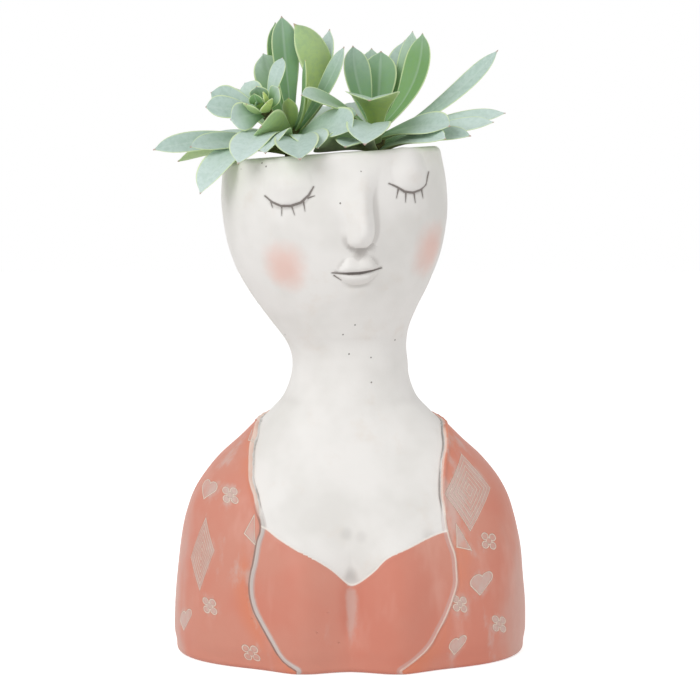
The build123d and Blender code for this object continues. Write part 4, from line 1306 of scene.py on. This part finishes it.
RIGHT_LEAVES = {
    "right_plant_upright_leaves": (
        (0.014, 0.00, 0.528, 0.88, -0.06, -50, 0.80), (0.155, 0.12, 0.508, 0.85, -0.08, 0, 0.90),
        (0.358, 0.00, 0.590, 0.86, -0.12, 45, 0.80), (0.109, 0.22, 0.527, 0.70, -0.08, 0, 0.70),
        (0.313, 0.14, 0.608, 0.60, -0.10, 20, 0.60), (0.279, 0.22, 0.569, 0.80, -0.10, 20, 0.50),
        (0.736, 0.06, 0.510, 0.48, -0.06, 50, 0.40),
    ),
    "right_plant_front_leaves": (
        (0.091, -0.42, 0.249, 1.30, 0.19, 0, 0.75), (-0.235, -0.30, 0.279, 0.84, 0.08, -32, 0.60),
        (0.482, -0.30, 0.130, 0.85, 0.06, 40, 0.50), (0.069, -0.54, 0.040, 1.05, 0.20, 0, 0.20),
        (-0.166, -0.42, 0.030, 0.80, 0.05, 45, 0.10),
    ),
    "right_plant_low_leaves": (
        (0.773, 0.02, 0.198, 0.52, 0.03, 45, 0.30), (0.705, -0.12, 0.152, 0.55, 0.03, 40, 0.15),
        (0.586, -0.24, 0.084, 0.60, 0.06, 35, 0.05), (0.459, -0.36, 0.070, 0.65, 0.06, 35, 0.00),
        (-0.024, -0.50, 0.030, 0.80, 0.08, 0, 0.00),
    ),
    "right_plant_rear_leaves": (
        (0.450, 0.42, 0.160, 0.80, 0.00, 0, 0.30), (0.020, 0.46, 0.260, 0.80, 0.00, 0, 0.35),
        (0.620, 0.27, 0.160, 0.80, 0.04, 0, 0.10), (0.240, 0.50, 0.100, 0.90, 0.05, 0, 0.10),
    ),
}
BACK_LEAVES = {
    "back_plant_upright_leaves": (
        (-0.340, 0.06, 0.677, 0.70, -0.02, 15, 0.90), (-0.220, -0.12, 0.453, 0.55, -0.15, 70, 0.80),
        (-0.300, -0.14, 0.270, 0.40, -0.12, -20, 0.98), (-0.280, 0.05, 0.640, 0.90, -0.26, -70, 0.80),
        (-0.029, -0.08, 0.520, 0.50, -0.05, 65, 0.70), (-0.375, 0.14, 0.652, 0.60, -0.06, 0, 0.70),
        (-0.433, 0.08, 0.494, 0.92, 0.00, -50, 0.60), (-0.103, 0.20, 0.621, 0.80, -0.08, 0, 0.60),
    ),
    "back_plant_front_leaves": (
        (0.035, -0.28, 0.185, 0.60, 0.04, 40, 0.65), (-0.430, -0.35, 0.125, 0.96, 0.03, 42, 0.76),
        (0.012, -0.44, 0.110, 1.00, 0.10, 45, 0.40), (-0.529, -0.50, -0.049, 0.92, 0.18, -10, 0.25),
        (-0.232, -0.66, -0.029, 1.05, 0.12, 0, 0.15), (-0.400, -0.50, 0.000, 0.85, 0.16, 10, 0.10),
        (-0.150, -0.50, 0.024, 0.88, 0.14, 5, 0.05),
    ),
    "back_plant_long_leaves": (
        (-0.961, -0.18, 0.016, 0.62, 0.05, -50, 0.35), (-0.775, -0.26, 0.030, 0.60, 0.06, -45, 0.20),
        (-0.848, -0.10, -0.040, 0.78, 0.08, 20, 0.05), (-0.720, -0.36, -0.194, 0.90, 0.20, -15, 0.10),
    ),
    "back_plant_rear_leaves": (
        (-0.620, 0.34, 0.340, 0.80, -0.04, 0, 0.50), (-0.140, 0.50, 0.240, 0.90, 0.02, 0, 0.40),
        (-0.720, 0.30, 0.100, 0.80, 0.05, 0, 0.20), (-0.480, 0.52, 0.120, 0.90, 0.05, 0, 0.20),
    ),
}
# Plants: crown, foot, leaves, leafy length of the stem, how far over the crown the point lies that the
# upright leaves face, and how much further the one that the lowest leaves face
PLANTS = (
    ((-0.42, -0.20, 0.22), (-0.33, -0.01, 0.07), SMALL_LEAVES, SMALL_STEM_LEAFY, 0.026, 0.040),
    ((0.13, 0.00, 0.13), (0.11, 0.00, -0.34), RIGHT_LEAVES, STEM_LEAFY, 0.042, 0.080),
    ((-0.29, 0.04, 0.12), (-0.25, 0.04, -0.34), BACK_LEAVES, STEM_LEAFY, 0.042, 0.080),
)
# Outline and thickness of a leaf: share of its length, of its width and of its thickness
LEAF_FORM = (
    (0.00, 0.30, 1.00), (0.15, 0.35, 1.00), (0.35, 0.60, 0.95), (0.52, 0.87, 0.85), (0.66, 1.00, 0.76),
    (0.77, 1.00, 0.68), (0.85, 0.88, 0.60), (0.905, 0.68, 0.52), (0.945, 0.42, 0.44), (0.97, 0.20, 0.36),
    (0.985, 0.09, 0.30), (1.00, 0.02, 0.20),
)
# Rings of a leaf and points across it; the values that its points keep for the paint, and how far a young
# leaf's green reaches; its upper side and its keel as shares of its half thickness, and its wave and groove
# as shares of its half width
LEAF_ROWS = 30
LEAF_ACROSS = 13
LEAF_VALUES = ("across", "along", "under", "tint", "young")
YOUNG_POWER = 1.6
YOUNG_SHIFT = 1.30
UPPER_SHARE = 0.8
KEEL_SHARE = 0.35
WAVE_SHARE = 0.05
GROOVE_SHARE = 0.10


def plant_spot(shares):
    """Point of a plant from shares of PLANT_REACH."""
    return np.array(shares) * PLANT_REACH + np.array((0, 0, PLANTER_HEIGHT))


def square_to(vector, heading):
    """Unit vectors that point as vector does, square to heading."""
    part = (vector * heading).sum(-1, keepdims=True) / (heading * heading).sum(-1, keepdims=True)
    vector = vector - heading * part
    return vector / np.linalg.norm(vector, axis=-1, keepdims=True)


def leaf_points(seat, focus, row, settings, rng):
    """Rings of one leaf from its seat to its point, and where each point lies across, along and under it."""
    tip = plant_spot(row[:3])
    width_share, bow, twist = row[3:6]
    chord = tip - seat
    middle = (seat + tip) / 2
    control = middle + square_to(focus - middle, chord) * (2 * bow * np.linalg.norm(chord))
    # rings lie closer together towards the point
    along = 1 - (1 - np.linspace(0, 1, LEAF_ROWS)[:, None]) ** 1.5
    spot = seat * (1 - along) ** 2 + control * (2 * along * (1 - along)) + tip * along ** 2
    heading = (control - seat) * (1 - along) + (tip - control) * along
    heading /= np.linalg.norm(heading, axis=-1, keepdims=True)
    up = square_to(focus - spot, heading)
    up = up * math.cos(math.radians(twist)) + np.cross(heading, up) * math.sin(math.radians(twist))
    side = np.cross(heading, up)
    form = np.array(LEAF_FORM)
    spread, thick = (column[:, None] for column in smooth_rows(form[:, 0], form[:, 1:], along[:, 0]).T)
    half = np.maximum(spread, 0.02) * width_share * settings.leaf_width / 2
    turn = np.linspace(0, math.pi, LEAF_ACROSS)
    across = np.concatenate((np.cos(turn), np.cos(turn[1:-1])[::-1]))
    below = np.concatenate((np.zeros(LEAF_ACROSS), np.ones(LEAF_ACROSS - 2)))
    # thickness over and under the middle sheet, with a keel below
    body = (1 - np.abs(across) ** 2.2) ** 0.62
    rise = np.where(below > 0, -(body + KEEL_SHARE * bell(across, 0.30)), body * UPPER_SHARE)
    # how the sheet itself is cupped, waved and grooved
    wave = WAVE_SHARE * across * np.sin(rng.uniform(0, 2 * math.pi) + 5.0 * along) * along
    sheet = settings.cup * across ** 2 + wave - GROOVE_SHARE * bell(across, 0.22) * (1 - below)
    lift = half * sheet + thick * settings.leaf_thickness / 2 * rise
    rings = spot[:, None] + side[:, None] * (half * across)[..., None] + up[:, None] * lift[..., None]
    return rings, *(np.broadcast_to(value, rings.shape[:2]) for value in (across, along, below))


class PlanterLeaves(bpy.types.PropertyGroup):
    leaf_width: length_property("Leaf width", "Width of a leaf of width share 1", 0.020, 0.002)
    leaf_thickness: length_property("Leaf thickness", "Thickness of a leaf near its stem", 0.0026, 0.0005)
    cup: FloatProperty(name="Cup", description="Rise of a leaf's edges as a share of its half width",
                       default=0.20, min=0.0, max=0.6, subtype="FACTOR")
    bloom_colour: colour_property("Bloom", "Pale blue-green bloom on the upper side", 206, 225, 220)
    green_colour: colour_property("Green", "Greener foot of the upper side", 122, 166, 100)
    under_colour: colour_property("Underside", "Upper part of the underside", 190, 220, 160)
    vivid_colour: colour_property("Vivid green", "Foot of the underside", 186, 210, 116)
    margin_colour: colour_property("Margin", "Thin pale edge", 222, 240, 186)
    point_colour: colour_property("Point", "Dry point at the leaf's end", 196, 150, 140)


def leaf_skin(settings):
    """Waxy leaf: bloom, greener foot, pale margin and a brown point."""
    material, shader, place = new_material("rosette_leaf")
    across, along, under, tint, young = (attribute(place, name) for name in LEAF_VALUES)
    across = abs(across)
    clouds = speckle(place, 60.0, 3.0, 0.55)
    fine = fine_grain(place)
    # young leaves keep their green further up than the old ones; on the upright inner leaves this darker
    # green is partly painted shade
    shifted = along + swing(clouds, 0.35) + swing(tint, 0.45) - young ** YOUNG_POWER * YOUNG_SHIFT
    upper = mix(ramp(shifted, -0.35, 0.60), settings.green_colour, settings.bloom_colour)
    lower = mix(ramp(shifted, -0.20, 0.60), settings.vivid_colour, settings.under_colour)
    colour = mix(under, upper, lower)
    darker = ramp(fine, 0.60, 0.35, 0.0, 0.16) + ramp(tint, 0.45, 1.0, 0.0, 0.30)
    colour = mix(darker, colour, rgb(124, 162, 140))
    keel = ramp(across, 0.16, 0.0) * (1.0 - under)
    colour = mix(keel * 0.22, colour, rgb(214, 232, 222))
    colour = mix(ramp(across, 0.86, 0.97) * 0.85, colour, settings.margin_colour)
    dry = ramp(along + swing(tint, 0.012), 0.978, 1.0, 0.0, 0.75)
    plug(shader.inputs["Base Color"], mix(dry, colour, settings.point_colour))
    plug(shader.inputs["Roughness"], ramp(clouds, 0.3, 0.7, 0.50, 0.62))
    shader.inputs["Specular IOR Level"].default_value = 0.45
    shader.inputs["Sheen Weight"].default_value = 0.12
    veins = speckle(place, 900.0)
    rough_bump(shader, clouds * 0.8 + veins * 0.06, 0.00015, 0.5)
    return material


def leaf_faces(start, count, around):
    """Faces of one leaf whose points begin at start: its rings, and fans round the points at its ends."""
    corner = start + np.arange(count * around).reshape(count, around)
    nxt = np.roll(corner, -1, 1)
    ends = start + count * around
    faces = np.stack((corner[:-1], corner[1:], nxt[1:], nxt[:-1]), -1).reshape(-1, 4).tolist()
    faces += [[ends, corner[0, k], nxt[0, k]] for k in range(around)]
    faces += [[ends + 1, nxt[-1, k], corner[-1, k]] for k in range(around)]
    return faces


class PLANTER_OT_leaves(bpy.types.Operator):
    """Make the leaves of the three rosettes"""
    bl_idname = "planter.leaves"
    bl_label = "Leaves"

    def execute(self, context):
        settings = context.scene.planter_leaves
        skin = leaf_skin(settings)
        rng = np.random.default_rng(12)
        for crown, foot, groups, leafy, reach, low_reach in PLANTS:
            crown, foot = plant_spot(crown), plant_spot(foot)
            axis = (crown - foot) / np.linalg.norm(crown - foot)
            for node, rows in groups.items():
                points, faces, values = [], [], {name: [] for name in LEAF_VALUES}
                for row in rows:
                    young = row[6]
                    seat = crown - axis * (leafy * (1 - young))
                    focus = crown + axis * (reach + low_reach * (1 - young) ** 2)
                    rings, across, along, below = leaf_points(seat, focus, row, settings, rng)
                    faces += leaf_faces(sum(map(len, points)), *rings.shape[:2])
                    points.append(np.concatenate((rings.reshape(-1, 3), rings[0].mean(0)[None],
                                                  rings[-1].mean(0)[None])))
                    whole = np.ones(len(points[-1]))
                    for name, value in (
                            ("across", (*across.ravel(), 0, 0)), ("along", (*along.ravel(), 0, 1)),
                            ("under", (*below.ravel(), 0, 0)), ("tint", whole * rng.random()),
                            ("young", whole * young)):
                        values[name].append(value)
                piece = new_mesh(node + "_blades", np.concatenate(points), faces)
                for name, value in values.items():
                    point_values(piece, name, np.concatenate(value))
                piece.data.materials.append(skin)
                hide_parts(node)
                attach(piece, "planted_pot")
        return {"FINISHED"}


def dress_node(name, material):
    """Give a node of the frame a better material."""
    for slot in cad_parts[name].material_slots:
        slot.material = material


def plain_skin(name, dark, light, scale, rough, depth, detail=4.0):
    """Material of two mingled colours with a fine grain."""
    material, shader, place = new_material(name)
    grain = speckle(place, scale, detail, 0.6)
    plug(shader.inputs["Base Color"], mix(ramp(grain, 0.35, 0.68), rgb(*dark), rgb(*light)))
    shader.inputs["Roughness"].default_value = rough
    rough_bump(shader, grain, depth)
    return material


def pebble_skin(name, dark, light, scale, depth):
    """Material of packed round grains."""
    material, shader, place = new_material(name)
    distance, chance = cells(place, scale)
    colour = mix(chance, rgb(*dark), rgb(*light))
    # near black between the grains: painted shade of the gaps
    plug(shader.inputs["Base Color"], mix(ramp(distance, 0.45, 0.75, 0.0, 0.7), colour, rgb(34, 26, 20)))
    shader.inputs["Roughness"].default_value = 0.88
    rough_bump(shader, 1.0 - distance, depth)
    return material


def grain_skin():
    """Material of the loose grit grains, each with its own tint, and with dark pores."""
    material, shader, place = new_material("loose_grit")
    colour = mix(attribute(place, "tint"), rgb(142, 132, 118), rgb(206, 198, 186))
    pores = speckle(place, 900.0, 4.0, 0.65)
    plug(shader.inputs["Base Color"], mix(ramp(pores, 0.58, 0.72, 0.0, 0.5), colour, rgb(96, 88, 78)))
    shader.inputs["Roughness"].default_value = 0.9
    rough_bump(shader, pores, 0.0003)
    return material


# Nodes of the frame that keep their shape: material's name, dark and light colour, grain's scale, and for a
# plain skin also its roughness, bump and detail, for a pebble skin its bump
PLAIN_SKINS = {
    "nursery_pot": ("moulded_plastic", (96, 52, 38), (112, 62, 46), 700.0, 0.45, 0.00008),
    "drain_mesh": ("woven_mesh", (30, 42, 32), (44, 58, 46), 900.0, 0.55, 0.0001),
    "drain_plug": ("black_rubber", (24, 24, 24), (38, 37, 36), 500.0, 0.55, 0.0001),
    "base_felt": ("pressed_felt", (52, 49, 46), (84, 80, 76), 900.0, 0.95, 0.0006, 6.0),
}
PEBBLE_SKINS = {
    "clay_drainage": ("fired_clay", (128, 70, 46), (176, 108, 76), 150.0, 0.0012),
    "growing_mix": ("potting_mix", (38, 27, 20), (74, 54, 40), 420.0, 0.0008),
    "grit_dressing": ("pumice_grit", (150, 140, 126), (196, 188, 176), 330.0, 0.0008),
}
STEMS = ("left_rosette_stem", "right_plant_stem", "back_plant_stem")
# Loose grains: how deep the grit's top lies below the rim, how far they reach, and the room round a stem
GRIT_TOP = 0.008
GRIT_REACH = 0.0415
STEM_CLEARANCE = 0.0075


class PlanterPot(bpy.types.PropertyGroup):
    grains: IntProperty(name="Grains", description="Number of loose grit grains on the soil", default=420,
                        min=0)
    grain_size: length_property("Grain size", "Size of a middling grain", 0.0026, 0.0005)


class PLANTER_OT_pot(bpy.types.Operator):
    """Finish the pot, what fills it, the plug and the felt, and strew the grit"""
    bl_idname = "planter.pot"
    bl_label = "Pot and fillings"

    def execute(self, context):
        settings = context.scene.planter_pot
        for name, skin in PLAIN_SKINS.items():
            dress_node(name, plain_skin(*skin))
        for name, skin in PEBBLE_SKINS.items():
            dress_node(name, pebble_skin(*skin))
        bark = plain_skin("woody_stem", (84, 80, 44), (134, 132, 78), 260.0, 0.75, 0.0006)
        for name in STEMS:
            dress_node(name, bark)

        rng = np.random.default_rng(31)
        maker = bmesh.new()
        bmesh.ops.create_icosphere(maker, subdivisions=1, radius=0.5)
        unit = np.array([corner.co for corner in maker.verts])
        sides = np.array([[corner.index for corner in face.verts] for face in maker.faces])
        maker.free()
        feet = [plant_spot(foot)[:2] for _, foot, *_ in PLANTS[1:]]
        top = head_ring(BOWL_DEPTH - GRIT_TOP, 0.0, np.zeros(1))[0]
        across, deep = turned(np.eye(3)[:2], HEAD_YAW, HEAD_ROLL)
        points, faces, tints = [], [], []
        while len(points) < settings.grains:
            reach, turn = GRIT_REACH * math.sqrt(rng.random()), rng.uniform(0, 2 * math.pi)
            size = settings.grain_size * rng.uniform(0.6, 1.35)
            centre = top + across * reach * math.cos(turn) + deep * reach * math.sin(turn)
            centre = centre + HEAD_AXIS * size * rng.uniform(0.0, 0.35)
            if any(np.linalg.norm(centre[:2] - foot) < STEM_CLEARANCE for foot in feet):
                continue
            spin = np.linalg.qr(rng.normal(size=(3, 3)))[0]
            rough = unit * rng.uniform(0.78, 1.12, size=(len(unit), 1)) * rng.uniform(0.7, 1.2, size=3)
            faces.append(sides + len(points) * len(unit))
            points.append(centre + (rough @ spin) * size)
            tints.append(np.full(len(unit), rng.random()))
        piece = new_mesh("grit_grains", np.concatenate(points), np.concatenate(faces), smooth=False)
        point_values(piece, "tint", np.concatenate(tints))
        piece.data.materials.append(grain_skin())
        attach(piece, "planted_pot")
        return {"FINISHED"}


class PlanterStage(bpy.types.PropertyGroup):
    key_power: FloatProperty(name="Key lamp", description="Power of the lamp at the upper left",
                             default=11.8, min=0.0, subtype="POWER")
    fill_power: FloatProperty(name="Fill lamp", description="Power of the lamp at the right", default=3.0,
                              min=0.0, subtype="POWER")
    ambient: FloatProperty(name="Ambient light", description="Strength of the even light from all round",
                           default=0.57, min=0.0)


# Lamps: place and diameter; both point at the middle of the bust
LAMP_TARGET = (0, 0, 0.14)
KEY_LAMP = ((-0.95, -1.05, 1.15), 1.10)
FILL_LAMP = ((1.2, -0.9, 0.5), 0.9)
FLOOR_REACH = 3
FLOOR_GLOW = 0.62


def lamp(name, place, size, power):
    """Round soft lamp that points at the bust."""
    data = bpy.data.lights.new(name, "AREA")
    data.shape = "DISK"
    data.size = size
    data.energy = power
    made = bpy.data.objects.new(name, data)
    made.location = place
    made.rotation_euler = (Vector(LAMP_TARGET) - Vector(place)).to_track_quat("-Z", "Y").to_euler()
    bpy.context.scene.collection.objects.link(made)


def background_rays(tree):
    """1 for the rays that see the plain pale background: those of the camera, of gloss and of glass."""
    rays = add(tree, "ShaderNodeLightPath").outputs
    return largest(Term(rays["Is Camera Ray"]),
                   largest(Term(rays["Is Glossy Ray"]), Term(rays["Is Transmission Ray"])))


def shader_mix(tree, factor, first, second):
    return Term(add(tree, "ShaderNodeMixShader", {0: factor, 1: first, 2: second}).outputs[0])


def studio_world(ambient):
    """Even light all round, and a white background."""
    world = bpy.data.worlds.new("studio")
    world.use_nodes = True
    tree = world.node_tree
    tree.nodes.clear()
    even = add(tree, "ShaderNodeBackground", {"Color": (1.0, 0.99, 0.98), "Strength": ambient})
    white = add(tree, "ShaderNodeBackground", {"Color": (1.0, 1.0, 1.0), "Strength": 1.0})
    mixed = shader_mix(tree, background_rays(tree), Term(even.outputs[0]), Term(white.outputs[0]))
    add(tree, "ShaderNodeOutputWorld", {"Surface": mixed})
    return world


def floor_paint():
    """Pale floor that keeps shadows; it is clear from below, so that the underside can be looked at."""
    material, shader, _ = new_material("pale_floor")
    tree = material.node_tree
    shader.inputs["Base Color"].default_value = (0.86, 0.86, 0.86, 1)
    shader.inputs["Roughness"].default_value = 0.9
    shader.inputs["Specular IOR Level"].default_value = 0.1
    shader.inputs["Emission Color"].default_value = (1, 1, 1, 1)
    plug(shader.inputs["Emission Strength"], background_rays(tree) * FLOOR_GLOW)
    below = Term(add(tree, "ShaderNodeNewGeometry").outputs["Backfacing"])
    clear = Term(add(tree, "ShaderNodeBsdfTransparent").outputs[0])
    output = next(node for node in tree.nodes if node.type == "OUTPUT_MATERIAL")
    plug(output.inputs["Surface"], shader_mix(tree, below, Term(shader.outputs[0]), clear))
    return material


class PLANTER_OT_stage(bpy.types.Operator):
    """Make the pale floor, the soft lamps and the camera"""
    bl_idname = "planter.stage"
    bl_label = "Stage"

    def execute(self, context):
        settings = context.scene.planter_stage
        scene = context.scene
        scene.view_settings.view_transform = "Standard"
        scene.world = studio_world(settings.ambient)
        corners = np.array([(-1, -1, 0), (1, -1, 0), (1, 1, 0), (-1, 1, 0)]) * FLOOR_REACH
        floor = new_mesh("floor", corners + (0, 0, FLOOR_HEIGHT), [(0, 1, 2, 3)], smooth=False)
        floor.data.materials.append(floor_paint())
        lamp("key", *KEY_LAMP, settings.key_power)
        lamp("fill", *FILL_LAMP, settings.fill_power)
        data = bpy.data.cameras.new("photograph")
        data.sensor_width = SENSOR_WIDTH
        data.lens = CAMERA_FOCAL / FRAME_SIZE * SENSOR_WIDTH
        data.clip_start = 0.01
        camera = bpy.data.objects.new("photograph", data)
        camera.location = CAMERA_PLACE
        camera.rotation_euler = (math.radians(90 - CAMERA_TILT), 0, 0)
        scene.collection.objects.link(camera)
        scene.camera = camera
        return {"FINISHED"}


class PLANTER_PT_panel(bpy.types.Panel):
    """Lists the planter's pieces and their settings"""
    bl_idname = "PLANTER_PT_panel"
    bl_label = "Head Planter"
    bl_space_type = "VIEW_3D"
    bl_region_type = "UI"
    bl_category = "Planter"

    def draw(self, context):
        for operator, groups in PANEL_ROWS:
            box = self.layout.box()
            box.operator(operator)
            for group in groups:
                settings = getattr(context.scene, group)
                for name in settings.__annotations__:
                    box.prop(settings, name)


PANEL_ROWS = (
    ("planter.casting", ("planter_casting", "planter_paint")),
    ("planter.leaves", ("planter_leaves",)),
    ("planter.pot", ("planter_pot",)),
    ("planter.stage", ("planter_stage",)),
)
SETTINGS = {
    "planter_casting": PlanterCasting,
    "planter_paint": PlanterPaint,
    "planter_leaves": PlanterLeaves,
    "planter_pot": PlanterPot,
    "planter_stage": PlanterStage,
}
CLASSES = (
    *SETTINGS.values(), PLANTER_OT_casting, PLANTER_OT_leaves, PLANTER_OT_pot, PLANTER_OT_stage,
    PLANTER_PT_panel,
)


def register():
    for made in CLASSES:
        bpy.utils.register_class(made)
    for name, group in SETTINGS.items():
        setattr(bpy.types.Scene, name, PointerProperty(type=group))


def unregister():
    for name in SETTINGS:
        delattr(bpy.types.Scene, name)
    for made in reversed(CLASSES):
        bpy.utils.unregister_class(made)


def main():
    register()
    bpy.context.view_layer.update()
    bpy.ops.planter.stage()
    bpy.ops.planter.casting()
    bpy.ops.planter.leaves()
    bpy.ops.planter.pot()


if __name__ == "__main__":
    main()
